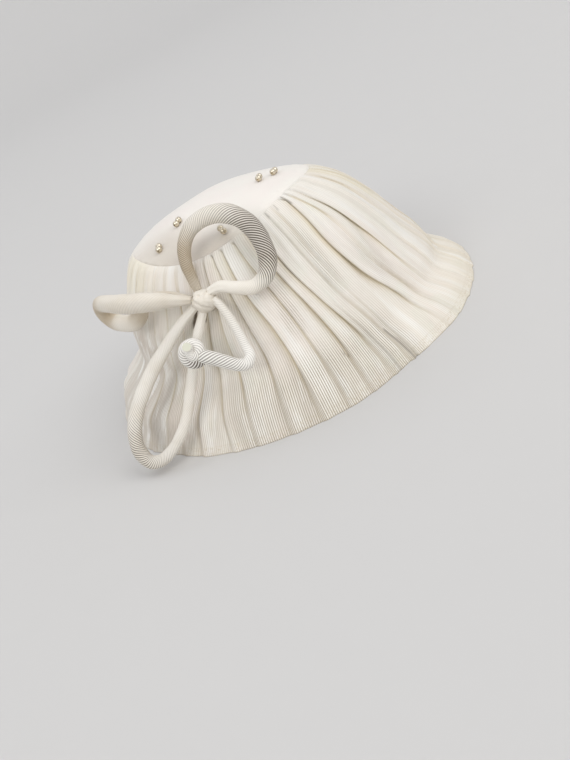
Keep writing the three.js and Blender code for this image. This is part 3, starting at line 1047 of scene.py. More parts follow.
# painted shadows in the gaps under the bow's knot, at the seam, and low in the front
GAP_SHADOWS = (
    GapShadow((-72.6, 0.775), (-76.6, 0.68), 1.1),
    GapShadow((-69.9, 0.735), (-70.9, 0.685), 0.9, 0.8),
    GapShadow((-65.0, 0.785), (-66.4, 0.735), 1.0),
    GapShadow((-9.3, 0.995), (-10.0, 0.955), 0.8, 0.5),
    GapShadow((-17.8, 0.99), (-18.8, 0.965), 0.7, 0.35),
    GapShadow((-25.5, 0.99), (-25.6, 0.965), 0.7, 0.35),
    GapShadow((-32.4, 0.215), (-31.0, 0.185), 0.35, 0.5),
    GapShadow((-17.3, 0.18), (-16.7, 0.0), 0.55, 0.5),
    GapShadow((-16.5, 0.13), (-15.9, 0.0), 0.8, 0.22),
)


# ---- The skirt ----------------------------------------------------------------------------------------


@dataclass(frozen=True)
class Tuck:
    """A fold of the skirt: its azimuths from the seam to the rim, and how far it stands proud there.

    It stands proud by `top` at the seam, `proud` above the middle, `easing` below it and `hem` at the rim.
    """

    seam: float
    high: float
    middle: float
    low: float
    rim: float
    top: float
    proud: float
    easing: float
    hem: float


@dataclass(frozen=True)
class BackTucks:
    """The evenly laid folds over the back and the left side.

    They grow calmer towards the last, by `calming` in all. `play` is how far, in degrees, one may stray.
    """

    count: int = 22
    first: float = -141.5
    last: float = -324.5
    rim_lag: float = -7
    top: float = 1.3
    proud: float = 1.9
    easing: float = 1.4
    hem: float = 0.9
    play: float = 0.5
    calming: float = 0.65
    lag_shares: tuple[float, ...] = (0, 0.1, 0.5, 0.9, 1)

    def lay(self) -> tuple[Tuck, ...]:
        """The folds from the first to the last."""
        return tuple(self._fold(number) for number in range(self.count))

    def _fold(self, number: int) -> Tuck:
        """One fold, a little unlike its neighbours.

        Args:
            number: The fold's number, from 0.

        Returns:
            The fold.
        """
        share = number / (self.count - 1)
        uneven = self.play * math.sin(2.4 * number)
        seam = blend(self.first, self.last, share) + uneven
        lag = self.rim_lag * (1 - share) - uneven
        path = [seam + lag * part + self.play * math.sin(1.9 * number + 3 * part) for part in self.lag_shares]
        heights = (self.top, self.proud + uneven, self.easing - 0.4 * uneven, self.hem - 0.5 * uneven)
        calm = 1 - self.calming * share**5
        return Tuck(*path, *(calm * height for height in heights))


FRONT_TUCKS = (
    Tuck(28.5, 27.0, 27.5, 28.5, 29.0, 0.9, 0.5, 0.4, 0.7),
    Tuck(15.5, 16.5, 17.5, 18.5, 20.0, 0.2, 0.2, 0.6, 0.9),
    Tuck(1.5, 3.7, 6.0, 9.0, 12.0, 0.7, 1.6, 0.7, 0.7),
    Tuck(-4.5, -1.5, -1.5, 1.5, 4.0, 1.2, 0.3, 0.8, 0.6),
    Tuck(-9.5, -13.0, -10.3, -4.0, -1.5, 2.3, 2.6, 1.8, 0.7),
    Tuck(-19.3, -20.5, -19.0, -15.6, -15.2, 0.8, 0.2, 0.6, 1.3),
    Tuck(-25.0, -24.0, -21.5, -17.5, -17.0, 0.4, 0.4, 0.7, 1.5),
    Tuck(-29.5, -28.5, -25.5, -22.2, -22.0, 0.2, 0.2, 0.4, 0.4),
    Tuck(-35.5, -33.3, -29.0, -24.3, -23.9, 1.8, 2.0, 1.7, 0.9),
    Tuck(-41.0, -37.8, -33.6, -30.9, -30.8, 1.8, 2.4, 1.6, 0.7),
    Tuck(-48.5, -44.0, -40.0, -38.2, -38.0, 1.7, 1.1, 0.8, 0.7),
    Tuck(-55.3, -52.0, -48.1, -46.1, -45.8, 2.0, 2.6, 1.8, 0.9),
    Tuck(-60.6, -57.2, -55.5, -54.1, -54.0, 1.7, 1.5, 0.9, 0.7),
    Tuck(-65.0, -64.6, -65.4, -64.3, -63.6, 1.0, 1.9, 1.0, 0.8),
    Tuck(-69.6, -68.8, -71.7, -71.8, -71.0, 1.0, 2.2, 1.5, 1.0),
    Tuck(-74.5, -73.0, -77.2, -80.5, -81.2, 1.0, 2.2, 1.3, 1.0),
    Tuck(-80.0, -80.5, -84.0, -87.0, -88.0, 0.7, 1.5, 1.2, 0.9),
    Tuck(-87.0, -88.5, -92.4, -93.6, -94.5, 0.6, 1.2, 1.4, 1.0),
    Tuck(-95.0, -97.0, -100.0, -101.5, -102.5, 0.6, 1.2, 1.2, 1.0),
    Tuck(-103.0, -105.0, -108.0, -109.5, -110.5, 0.6, 1.5, 1.3, 1.0),
    Tuck(-111.0, -113.0, -116.0, -117.5, -118.5, 0.8, 1.8, 1.6, 1.4),
    Tuck(-119.0, -121.0, -124.0, -125.5, -126.0, 0.9, 1.9, 1.4, 1.0),
    Tuck(-127.0, -129.0, -131.5, -132.8, -133.5, 1.0, 1.9, 1.4, 1.0),
    Tuck(-134.5, -136.0, -138.5, -139.6, -140.5, 1.0, 1.9, 1.4, 1.0),
)


class Layer(Enum):
    """Where a strip of the skirt's cloth lies."""

    SHOWN = "shown"
    UNDER = "under"
    RETURN = "return"
    ROLL = "roll"


STRIPS: dict[Layer, tuple[float, ...]] = {
    Layer.SHOWN: (0.0, 0.08, 0.18, 0.30, 0.43, 0.56, 0.68, 0.79, 0.88, 0.95, 1.0),
    Layer.UNDER: (0.45, 0.9),
    Layer.RETURN: (1.0, 0.45),
    Layer.ROLL: (-68.0, -30.0, 5.0, 38.0, 66.0),
}
HIDDEN_LAYERS = (Layer.UNDER, Layer.RETURN, Layer.ROLL)
HIDDEN_STRIPS = [(layer, step) for layer in HIDDEN_LAYERS for step in STRIPS[layer]]


@dataclass(frozen=True)
class Ripple:
    """A soft wave across the cloth: how many go round, its height low down and high up, and its phase."""

    count: int
    low: float
    high: float
    phase: float


@dataclass(frozen=True)
class Lay:
    """How the cloth lies, in millimetres: one row for each level, and one column for each tuck.

    A tuck runs from its own fold to the next one. Each fold stands proud by its height and is rolled
    over at its edge. Behind the next fold the cloth laps under and returns. Where a tuck has opened,
    `opened` is nearer 1, and a soft ramp takes the place of its lap.
    """

    fold: np.ndarray
    next_fold: np.ndarray
    height: np.ndarray
    next_height: np.ndarray
    roll: np.ndarray
    next_roll: np.ndarray
    width: np.ndarray
    shown: np.ndarray
    hidden: np.ndarray
    lap: np.ndarray
    edge: np.ndarray
    opened: np.ndarray
    own_opened: np.ndarray


@dataclass
class PleatedSkirt:
    """The tucked skirt. The cloth keeps its width all the way up, so it laps more towards the seam.

    `cut` is the strip's length before it was turned in at the rim and the seam, and `slope` and `map_run`
    are the length that shows, for the doubled hem and for the cloth's own map.
    """

    form: HatForm
    tucks: tuple[Tuck, ...]
    wall: float = 1.6
    seam_gap: float = 0.35
    rows: int = 66
    lining_rows: int = 12
    lining_lift: float = 0.4
    lining_ease: float = 0.45
    panel_fall: float = 1.3
    roll_share: float = 0.45
    roll_most: float = 1.0
    least_lap: float = 0.6
    lap_most: float = 0.35
    cord_width: float = 1.28
    fold_share: float = 0.85
    fold_least: float = 0.06
    most_lapped: float = 0.72
    ramp_most: float = 0.32
    ramp_before: float = 2.5
    ramp_after: float = 0.7
    gap_least: float = 0.15
    cut: float = 125
    slope: float = 115
    map_run: float = 117
    mean_radius: float = 80
    gore: float = 0.86
    hem_depth: float = 6.0
    hem_doubled: float = 0.22
    edge_turned_in: tuple[float, float] = (0.5, 0.14)
    edge_levels: tuple[float, ...] = (0.0035, 0.0085)
    top_level: float = 0.992
    # the least relief and painted groove shade of the cords
    least_cord_depth_and_shade: float = 0.25
    slant: float = 1.3
    # the reach, middle and spread of the painted shade beside the folds
    crease_reach: float = 4.6
    crease_shade_azimuth: float = -55
    crease_spread: float = 42
    deep_tuck: float = 1.4
    deep_tucks_between: tuple[float, float] = (-70, -30)
    ripples: tuple[Ripple, ...] = (
        Ripple(58, 0.28, 0.22, 0.0),
        Ripple(83, 0.24, 0.26, 1.9),
        Ripple(131, 0.11, 0.18, 4.1),
        Ripple(197, 0.06, 0.07, 2.6),
    )

    def _levels(self) -> np.ndarray:
        """Sets out the rows of the outer face.

        Returns:
            Shares of the height, closer together at the rim and the seam.
        """
        even = np.linspace(0, 1, self.rows - 2)
        eased = even - 0.06 * np.sin(2 * np.pi * even) / (2 * np.pi)
        return np.array([0, *self.edge_levels, *eased[1:-1], self.top_level, 1])

    def _fold_azimuth(self, share: np.ndarray) -> np.ndarray:
        """Lays each fold from the rim to the seam, with a hand-laid waver.

        Args:
            share: Shares of the height.

        Returns:
            The azimuths, one row for each share and one column for each fold.
        """
        stops = np.array([0.0, 0.25, 0.5, 0.75, 1.0])
        paths = [(tuck.rim, tuck.low, tuck.middle, tuck.high, tuck.seam) for tuck in self.tucks]
        laid = np.stack([curve_value(stops, np.array(path), share) for path in paths], axis=1)
        number = np.arange(len(self.tucks))
        waver = np.sin(5.2 * share[:, None] + 1.7 * number) + 0.6 * np.sin(11 * share[:, None] + 4.3 * number)
        return laid + 0.16 * waver * smoothstep(share, 1.0, 0.65)[:, None]

    def _fold_height(self, share: np.ndarray) -> np.ndarray:
        """How far each fold stands proud, with all of them pressed down at the seam.

        Args:
            share: Shares of the height.

        Returns:
            Millimetres, one row for each share and one column for each fold.
        """
        stops = np.array([0.0, 0.3, 0.6, 0.92, 1.0])
        heights = [(t.hem, 1.15 * t.easing, t.proud, t.top, 0.5 * t.top) for t in self.tucks]
        laid = np.stack([curve_value(stops, np.array(height), share) for height in heights], axis=1)
        pressed = 1 - 0.85 * smoothstep(share, 0.975, 1)[:, None]
        return self.fold_share * np.maximum(laid, self.fold_least) * pressed

    def _lay(self, share: np.ndarray) -> Lay:
        """Measures how the cloth lies.

        Args:
            share: Shares of the height.

        Returns:
            The lie of the cloth at each share.
        """
        fold, height = self._fold_azimuth(share), self._fold_height(share)
        roll = np.minimum(self.roll_share * height, self.roll_most)
        lapped = self.most_lapped * smoothstep(share, 0.08, 0.45)[:, None]
        own_opened = 1 - lapped * smoothstep(height, 0.5, 1.3)
        own = (fold, height, roll, own_opened)
        next_fold, next_height, next_roll, opened = (np.roll(values, -1, axis=1) for values in own)
        next_fold[:, -1] += 360
        middle = (fold + next_fold) / 2
        width = np.radians(next_fold - fold) * self.form.side_radius(middle, self._height_at(middle, share))
        shown = width + (np.pi / 2 - 1) * roll
        taken = shown + np.pi / 2 * next_roll
        whole = taken.max(axis=0) + self.least_lap
        hidden = whole - taken
        lap = np.minimum((hidden + next_roll) / 2, self.lap_most * np.roll(width, -1, axis=1))
        edge = np.concatenate([[0.0], np.cumsum(whole)])
        places = (fold, next_fold, height, next_height, roll, next_roll)
        return Lay(*places, width, shown, hidden, lap, edge, opened, own_opened)

    def _height_at(self, azimuth: np.ndarray, share: np.ndarray) -> np.ndarray:
        """Millimetres above the rim's plane, with one row of azimuths for each share of the height."""
        return share[:, None] * (self.form.seam(azimuth) - self.seam_gap)

    def _shown(self, lay: Lay, step: float) -> np.ndarray:
        """The shown cloth between two folds.

        Args:
            lay: How the cloth lies.
            step: The share of the way from the fold to the next one.

        Returns:
            Five layers: how far along the tuck, how far off the hat, the place across the cloth, how deep
            in the tuck, and how far out of the crease.
        """
        eased = np.minimum(self.ramp_after, self.ramp_most * np.roll(lay.width, 1, axis=1))
        start = blend(lay.roll, eased, lay.own_opened)
        end = lay.width - np.minimum(self.ramp_before, self.ramp_most * lay.width) * lay.opened
        along = blend(start, end, step)
        lift = lay.height * (1 - step) ** self.panel_fall
        cloth = lay.edge[:-1] + (np.pi / 2 - 1) * lay.roll * (1 - lay.own_opened) + along
        reach = (lay.width - along) / (0.9 + 0.75 * lay.next_height)
        tucked = bell(1.05 * reach, 1, 1.3) * np.clip(lay.next_height / 2.4, 0, 1)
        clear = np.clip((lay.width - along) / self.crease_reach, 0, 1)
        return np.stack([along, lift, cloth, tucked, clear])

    def _hidden(self, lay: Lay, layer: Layer, step: float, passed: float) -> np.ndarray:
        """The cloth behind the next fold, and round that fold's own edge.

        Args:
            lay: How the cloth lies.
            layer: Whether the strip laps under, returns, or rolls over the edge.
            step: The share of the lap, or the angle on the roll.
            passed: The share of the hidden strips that are passed.

        Returns:
            The same five layers as for the shown cloth.
        """
        if layer is Layer.ROLL:
            turn = math.radians(step)
            along = lay.width + lay.next_roll * (1 - math.cos(turn))
            lift = lay.next_height - lay.next_roll * (1 - math.sin(turn))
            cloth = lay.edge[1:] + turn * lay.next_roll
            tucked = np.full_like(along, np.clip(0.55 - step / 60, 0, 1))
        else:
            under = layer is Layer.UNDER
            gap = np.maximum(lay.next_height - 2 * lay.next_roll, self.gap_least)
            along = lay.width + step * lay.lap
            lift = gap * (0.08 * step if under else 1 - 0.55 * step)
            passed_over = 0.5 * step if under else 1 - 0.5 * step
            cloth = lay.edge[:-1] + lay.shown + lay.hidden * passed_over
            tucked = np.ones_like(along)
        return np.stack([along, lift, cloth, tucked, np.full_like(along, 0.9 * passed)])

    def _ramp(self, lay: Lay, passed: float) -> np.ndarray:
        """The soft ramp up to the next fold where the tuck has opened.

        Args:
            lay: How the cloth lies.
            passed: The share of the ramp.

        Returns:
            The same five layers as for the shown cloth.
        """
        most = self.ramp_most * lay.width
        before, after = np.minimum(self.ramp_before, most), np.minimum(self.ramp_after, most)
        along = lay.width - before + (before + after) * passed
        lift = lay.next_height * smoothstep(passed, 0, 1)
        cloth = blend(lay.edge[:-1] + lay.width - before, lay.edge[1:] + after, passed)
        tucked = blend(0.1, 1.0, 1 - passed) * np.clip(lay.next_height / 1.7, 0, 1)
        return np.stack([along, lift, cloth, tucked, np.full_like(along, 0.9 * passed)])

    def _strips(self, lay: Lay) -> list[np.ndarray]:
        """Lays every strip of every tuck side by side round the hat.

        Args:
            lay: How the cloth lies.

        Returns:
            The five layers, each with one row for each level.
        """
        strips = [self._shown(lay, step) for step in STRIPS[Layer.SHOWN]]
        for number, (layer, step) in enumerate(HIDDEN_STRIPS, start=1):
            passed = number / (len(HIDDEN_STRIPS) + 1)
            strips.append(blend(self._hidden(lay, layer, step, passed), self._ramp(lay, passed), lay.opened))
        return [part.reshape(len(lay.fold), -1) for part in np.stack(strips, axis=-1)]

    def build(self) -> Piece:
        """Lays the cloth round the hat.

        Returns:
            The skirt as one closed piece.
        """
        share = self._levels()
        lay = self._lay(share)
        whole = lay.edge[-1]
        along, lift, cloth, tucked, clear = self._strips(lay)
        strips = len(STRIPS[Layer.SHOWN]) + len(HIDDEN_STRIPS)
        parts = (lay.fold, lay.next_fold, lay.width)
        start, end, width = (np.repeat(part, strips, axis=1) for part in parts)
        azimuth = blend(start, end, along / width)
        lining, lining_rows = self._lining(lay, share)
        values = self._marks(azimuth, share[:, None], tucked, 1 - clear)
        inner = np.zeros((len(lining), azimuth.shape[1]))
        values = {name: np.concatenate([value, inner]) for name, value in values.items()}
        rows = [*range(len(share)), *lining_rows, 0]
        points = np.concatenate([self._outside(azimuth, lift, cloth, share, whole), lining])
        uv = self._cloth_map(cloth[rows], share[rows], whole)
        piece = Grid(self.form.to_part(points), uv, True, values).build("skirt_cloth")
        cords = round(whole / self.cord_width)
        LOG.info("skirt cloth %.0f mm wide with %d cords", whole, cords)
        stand_for(piece, "pleated_skirt", SkirtSilk(whole / cords * MM).make())
        flat = (round(whole * MM, 3), self.cut * MM)
        round(self.gore * flat[0] * flat[1], 4)
        return piece

    def _cloth_map(self, cloth: np.ndarray, share: np.ndarray, whole: float) -> np.ndarray:
        """The points' places on the cloth's own map, with the first column once more at the end."""
        across = np.concatenate([cloth, cloth[:, :1] + whole], axis=1)
        return np.stack(np.broadcast_arrays(across, share[:, None] * self.map_run), axis=-1) * MM

    def _outside(self, azimuth: np.ndarray, lift: np.ndarray, cloth: np.ndarray, share: np.ndarray,
                 whole: float) -> np.ndarray:
        """The outer face, with its edge rounded at the rim.

        Args:
            azimuth: Azimuth of each point.
            lift: How far each point stands off the hat's form.
            cloth: Its place across the cloth.
            share: Shares of the height, one for each row.
            whole: The cloth's whole width.

        Returns:
            The points in the hat's own frame.
        """
        height = self._height_at(azimuth, share)
        radius = self.form.side_radius(azimuth, height) + lift
        radius = radius + self._relief(cloth, share[:, None], whole)
        radius[:2] -= np.array(self.edge_turned_in)[:, None]
        points = self.form.on_compass(azimuth, radius, height)
        return points + self.form.shoulder(azimuth, self.slant * (self.form.seam(azimuth) - height))

    def _relief(self, cloth: np.ndarray, share: np.ndarray, whole: float) -> np.ndarray:
        """Soft ripples along the cloth, the gathers at the seam and the doubled hem.

        Args:
            cloth: Places across the cloth, in millimetres.
            share: Shares of the height.
            whole: The cloth's whole width.

        Returns:
            The relief in millimetres.
        """
        lift = np.zeros(np.broadcast(cloth, share).shape)
        for ripple in self.ripples:
            swing = 1.4 * np.sin(3.1 * share + ripple.phase) + 0.5 * np.sin(9 * share + 2 * ripple.phase)
            strength = blend(ripple.low, ripple.high, smoothstep(share, 0.35, 0.85))
            turn = 2 * np.pi * ripple.count * cloth / whole
            lift = lift + strength * np.sin(turn + ripple.phase + swing)
        lift = lift * (1 - 0.7 * smoothstep(share, 0.96, 1)) * (0.35 + 0.65 * smoothstep(share, 0, 0.2))
        doubled = smoothstep(share * self.slope, self.hem_depth + 0.6, self.hem_depth - 0.5)
        return lift + self.hem_doubled * doubled

    def _lining(self, lay: Lay, share: np.ndarray) -> tuple[np.ndarray, np.ndarray]:
        """The plain inner face, from the seam down to the rim.

        Args:
            lay: How the cloth lies.
            share: Shares of the height.

        Returns:
            The points in the hat's own frame, and the number of the level that each row lies at.
        """
        rows = np.linspace(len(share) - 1, 0, self.lining_rows).round().astype(int)
        behind = np.arange(1, len(HIDDEN_STRIPS) + 1) / (len(HIDDEN_STRIPS) + 1)
        steps = np.concatenate([0.9 * np.array(STRIPS[Layer.SHOWN]), 0.9 + 0.1 * behind])
        start, end = lay.fold[rows][..., None], lay.next_fold[rows][..., None]
        azimuth = blend(start, end, steps).reshape(len(rows), -1)
        follow = self.lining_lift * lay.height[rows][..., None] * (1 - steps) ** self.panel_fall
        level = self._height_at(azimuth, share[rows])
        radius = self.form.side_radius(azimuth, level) + follow.reshape(len(rows), -1) - self.wall
        radius[-1] += self.lining_ease
        sunk = self.form.shoulder(azimuth, self.slant * (self.form.seam(azimuth) - level))
        return self.form.on_compass(azimuth, radius, level) + sunk, rows

    def _marks(self, azimuth: np.ndarray, share: np.ndarray, tucked: np.ndarray,
               crease_shaded: np.ndarray) -> dict[str, np.ndarray]:
        """What the finish reads at each point of the outer face.

        Args:
            azimuth: Azimuth of each point.
            share: Shares of the height, one for each row.
            tucked: How deep each point lies in its tuck.
            crease_shaded: How deep it lies in the crease beside the fold.

        Returns:
            The values, by the names under which the finish reads them.
        """
        shaded = (0.3 + 0.7 * smoothstep(share, 0.04, 0.42)) * (1 - 0.25 * smoothstep(share, 0.95, 1.0))
        low = smoothstep(share, 0.5, 0.28) * (0.6 + 0.4 * smoothstep(share, 0.0, 0.12))
        near = 0.25 + 0.75 * bell(turned_from(azimuth, self.crease_shade_azimuth), self.crease_spread, 4)
        cord_depth_and_shade = self.least_cord_depth_and_shade + sum(place.at(azimuth, share) for place in OPEN_CORDS)
        scale = (math.radians(self.mean_radius), self.cut)
        shadow_masks = [gap_shadow.at(azimuth, share, scale) for gap_shadow in GAP_SHADOWS + self._seam_gap_shadows()]
        # most of these paint shade: in the tucks, beside the folds, in the cord grooves and in the gaps; the
        # grey value paints grime with shade, and the aged one yellowing
        return {
            "tucked": tucked * shaded,
            "crease_shaded": crease_shaded**1.6 * low * near,
            "aged": stained(YELLOWED, azimuth, share),
            "cord_depth_and_shade": np.clip(cord_depth_and_shade, 0, 1),
            "gap_shadowed": np.maximum.reduce(shadow_masks),
            "grime_and_shade": stained(GRIME_AND_SHADE, azimuth, share),
        }

    def _seam_gap_shadows(self) -> tuple[GapShadow, ...]:
        """Painted shadow in the short dark creases where the front's deeper tucks start at the seam.

        Returns:
            A painted shadow for each of those tucks.
        """
        first, last = self.deep_tucks_between
        deep = [tuck for tuck in self.tucks if tuck.top >= self.deep_tuck and first < tuck.seam < last]
        ends = [((tuck.seam, 0.985), (blend(tuck.seam, tuck.high, 0.4), 0.90)) for tuck in deep]
        return tuple(GapShadow(*pair, 0.7, 0.12 * tuck.top) for pair, tuck in zip(ends, deep))


# ---- The cap ------------------------------------------------------------------------------------------


@dataclass
class CrownCap:
    """The smooth cap, stretched over the crown with its edge turned under.

    `turned` gives how far outwards and down the edge goes at each step of its turn.
    """

    form: HatForm
    wall: float = 1.6
    sectors: int = 240
    rings: int = 46
    lining_rings: int = 12
    middle: float = 0.012
    turned: tuple[tuple[float, float], ...] = ((0.12, 0.02), (0.26, 0.12), (0.30, 0.28), (0.1, 0.5))
    cut: float = 0.136
    area: float = 0.0145

    def _relief(self, azimuth: np.ndarray, share: float) -> np.ndarray:
        """Soft dents of the stretched cloth, and small puckers along the seam.

        Args:
            azimuth: Degrees round the hat.
            share: 0 at the middle and 1 at the seam.

        Returns:
            The relief in millimetres.
        """
        turn = np.radians(azimuth)
        broad = 0.32 * np.sin(3 * turn + 1.1) * np.sin(np.pi * share) + 0.25 * np.sin(5 * turn + 4 * share)
        puckers = np.sin(37 * turn + 1.3 * np.sin(3 * turn)) + 0.7 * np.sin(61 * turn + 2)
        return broad * smoothstep(share, 0.15, 0.7) + 0.12 * puckers * smoothstep(share, 0.82, 1.0)

    def _rings(self, azimuth: np.ndarray, shares: np.ndarray) -> np.ndarray:
        """The rings of points: out over the crown, round the turned edge, and back inside.

        Args:
            azimuth: Degrees round the hat, for each point of a ring.
            shares: The outer face's rings, from nearly 0 at the middle to 1 at the seam.

        Returns:
            The points in the hat's own frame.
        """
        rings = [(share, 0.0, -self._relief(azimuth, share)) for share in shares]
        rings += [(1.0, -outward, drop) for outward, drop in self.turned]
        rings += [(1.0, self.wall, 0.0)]
        inside = np.linspace(0.94, self.middle, self.lining_rings)
        rings += [(share, self.wall, self.wall) for share in inside]
        points = [self.form.cap_point(azimuth, np.full(self.sectors, share), *sunk) for share, *sunk in rings]
        return np.stack(points)

    def build(self) -> Piece:
        """Stretches the cloth over the crown.

        Returns:
            The cap as one closed piece.
        """
        azimuth = np.arange(self.sectors) * 360 / self.sectors
        shares = np.linspace(self.middle, 1, self.rings) ** 0.9
        points = self._rings(azimuth, shares)
        uv = np.concatenate([points, points[:, :1]], axis=1)[..., :2] * MM
        share = np.concatenate([shares, np.ones(len(points) - len(shares))])[:, None]
        # painted shade on the cap
        values = {"grime_and_shade": stained(CAP_GRIME_AND_SHADE, azimuth, share)}
        piece = Grid(self.form.to_part(points), uv, False, values).build("cap_cloth")
        stand_for(piece, "crown_cap", CapSilk().make())
        return piece


# ---- The tubing ---------------------------------------------------------------------------------------


@dataclass(frozen=True)
class BowPlane:
    """The plane of one loop through the knot: `heading` and `tilt` turn its face, `lean` turns in it."""

    heading: float
    tilt: float
    lean: float

    def axes(self) -> tuple[np.ndarray, np.ndarray, np.ndarray]:
        """The plane's own directions.

        Returns:
            Along the loop, across it, and out of its plane.
        """
        turn, rise, swing = (math.radians(angle) for angle in (self.heading, self.tilt, self.lean))
        out = np.array([math.sin(turn) * math.cos(rise), -math.cos(turn) * math.cos(rise), math.sin(rise)])
        level = np.array([math.cos(turn), math.sin(turn), 0.0])
        slope = np.cross(out, level)
        along = level * math.cos(swing) + slope * math.sin(swing)
        return along, np.cross(out, along), out

    def point(self, place: np.ndarray) -> np.ndarray:
        """Points counted from the knot, from places along, across and off the plane."""
        return place @ np.array(self.axes())


@dataclass(frozen=True)
class Station:
    """A place along the tubing, half its width there, how far its cords are opened, and its soil and painted
    shade.

    Opened cords also get deeper painted shade between them. Where the last measure is below 0, the silk is
    paler than the rest.
    """

    along: float
    across: float
    off: float
    half: float
    opened: float = 0.15
    soil_and_shade: float = 0.0


class Ending(Enum):
    """How the far end of the tubing is made."""

    GATHERED = "drawn together into the knot"
    CUT = "cut off square"


@dataclass(frozen=True)
class Course:
    """The tubing's route at even steps, one row for each step."""

    middles: np.ndarray
    length: np.ndarray
    half: np.ndarray
    opened: np.ndarray
    soil_and_shade: np.ndarray


@dataclass(frozen=True)
class SilkTube:
    """Stuffed silk tubing along a route of stations, with cords that wind round it."""

    name: str
    node: str
    plane: BowPlane
    stations: tuple[Station, ...]
    ending: Ending = Ending.GATHERED
    thickness: float = 0.86
    around: int = 96
    step: float = 0.5
    cord_starts: int = 12
    cord_relief: float = 0.24
    cord_shape: float = 0.7
    gather_reach: float = 7.0
    gather_depth: float = 0.17
    gather_folds: int = 6
    evening: int = 9
    fill: float = 0.8

    def _route(self, parts: int = 40) -> tuple[np.ndarray, np.ndarray]:
        """A fine centripetal curve through the stations.

        Args:
            parts: How many parts each stretch between two stations has.

        Returns:
            The points, and each point's place counted in stations.
        """
        knots = self.plane.point(np.array([(s.along, s.across, s.off) for s in self.stations]))
        padded = np.vstack([2 * knots[0] - knots[1], knots, 2 * knots[-1] - knots[-2]])
        share = np.linspace(0, 1, parts, endpoint=False)[:, None]
        points = []
        for i in range(len(knots) - 1):
            before, start, end, after = padded[i : i + 4]
            first, span, last = np.linalg.norm(np.diff(padded[i : i + 4], axis=0), axis=1) ** 0.5
            leave = (start - before) / first - (end - before) / (first + span) + (end - start) / span
            arrive = (end - start) / span - (after - start) / (span + last) + (after - end) / last
            leave, arrive = leave * span, arrive * span
            bend = 2 * start - 2 * end + leave + arrive
            pull = -3 * start + 3 * end - 2 * leave - arrive
            points.append(((bend * share + pull) * share + leave) * share + start)
        points.append(knots[-1:])
        return np.concatenate(points), np.arange((len(knots) - 1) * parts + 1) / parts

    def _course(self) -> Course:
        """Walks the route at even steps and reads the stations' measures on the way.

        Returns:
            The route.
        """
        points, places = self._route()
        passed = np.concatenate([[0.0], np.cumsum(np.linalg.norm(np.diff(points, axis=0), axis=1))])
        length = np.linspace(0, passed[-1], max(8, round(passed[-1] / self.step)))
        middles = np.stack([np.interp(length, passed, points[:, k]) for k in range(3)], axis=1)
        place, number = np.interp(length, passed, places), np.arange(len(self.stations))
        columns = ([getattr(s, column) for s in self.stations] for column in ("half", "opened", "soil_and_shade"))
        half, opened, soil_and_shade = (np.interp(place, number, column) for column in columns)
        half = np.pad(half, self.evening // 2, mode="edge")
        half = np.convolve(half, np.ones(self.evening) / self.evening, mode="valid")
        return Course(middles, length, half, opened, soil_and_shade)

    def _reach(self, course: Course, phase: np.ndarray, turn: np.ndarray) -> np.ndarray:
        """How far the skin stands from the middle: its stuffing, its cords, and its gathers at the knot.

        Args:
            course: The route.
            phase: The cords passed at each point.
            turn: The angle of each point round the tubing.

        Returns:
            The reach in millimetres.
        """
        length = course.length
        to_end = length if self.ending is Ending.CUT else np.minimum(length, length[-1] - length)
        gathered = np.exp(-to_end / self.gather_reach)[:, None]
        crease = 0.5 + 0.5 * np.cos(self.gather_folds * turn + 0.05 * length[:, None] + 1.0)
        stuffing = 1 + 0.018 * np.sin(length / 3.1 + 1) + 0.012 * np.sin(length / 1.9)
        cord = np.abs(np.sin(np.pi * phase)) ** self.cord_shape - 0.7
        raised = 0.2 + 0.8 * smoothstep(course.opened, 0, 0.45)[:, None]
        reach = (course.half * stuffing)[:, None] * (1 - self.gather_depth * gathered * crease)
        return reach + self.cord_relief * cord * raised * (1 - 0.4 * gathered)

    def build(self, form: HatForm, knot: np.ndarray, material: Material) -> Piece:
        """Sweeps the stuffed round along the route, with its winding cords in relief.

        Args:
            form: The hat's form.
            knot: The middle of the bow in the hat's own frame.
            material: The tubing's finish.

        Returns:
            The tubing as one closed piece.
        """
        course = self._course()
        forward = unit(np.gradient(course.middles, axis=0))
        out = self.plane.axes()[2]
        upper = unit(out - (forward @ out)[:, None] * forward)
        side = np.cross(forward, upper)
        turn = np.arange(self.around + 1) * 2 * np.pi / self.around
        girth = np.pi * course.half * (1 + self.thickness)
        wound = np.concatenate([[0.0], np.cumsum(np.diff(course.length) * self.cord_starts / girth[1:])])
        phase = self.cord_starts * turn / (2 * np.pi) - wound[:, None]
        reach = self._reach(course, phase[:, :-1], turn[:-1])
        sideways, upwards = np.cos(turn[:-1])[:, None], self.thickness * np.sin(turn[:-1])[:, None]
        round_out = sideways * side[:, None] + upwards * upper[:, None]
        points = course.middles[:, None] + reach[..., None] * round_out
        rows = {"opened": course.opened, "corded": np.ones(len(reach)), "soil_and_shade": course.soil_and_shade}
        down = course.length
        if self.ending is Ending.CUT:
            points = self._cut_end(points, course.middles[-1], forward[-1])
            phase, down = np.concatenate([phase, phase[-1:], phase[-1:]]), np.append(down, [down[-1]] * 2)
            closing = {"opened": [0.0, 0.0], "corded": [0.5, 0.0], "soil_and_shade": [0.0, 0.0]}
            rows = {name: np.append(row, closing[name]) for name, row in rows.items()}
        uv = np.stack(np.broadcast_arrays(phase, (down * MM)[:, None]), axis=-1)
        values = {name: np.repeat(row[:, None], self.around, axis=1) for name, row in rows.items()}
        piece = Grid(form.to_part(points + knot), uv, False, values).build(self.name)
        stand_for(piece, self.node, material)
        return piece

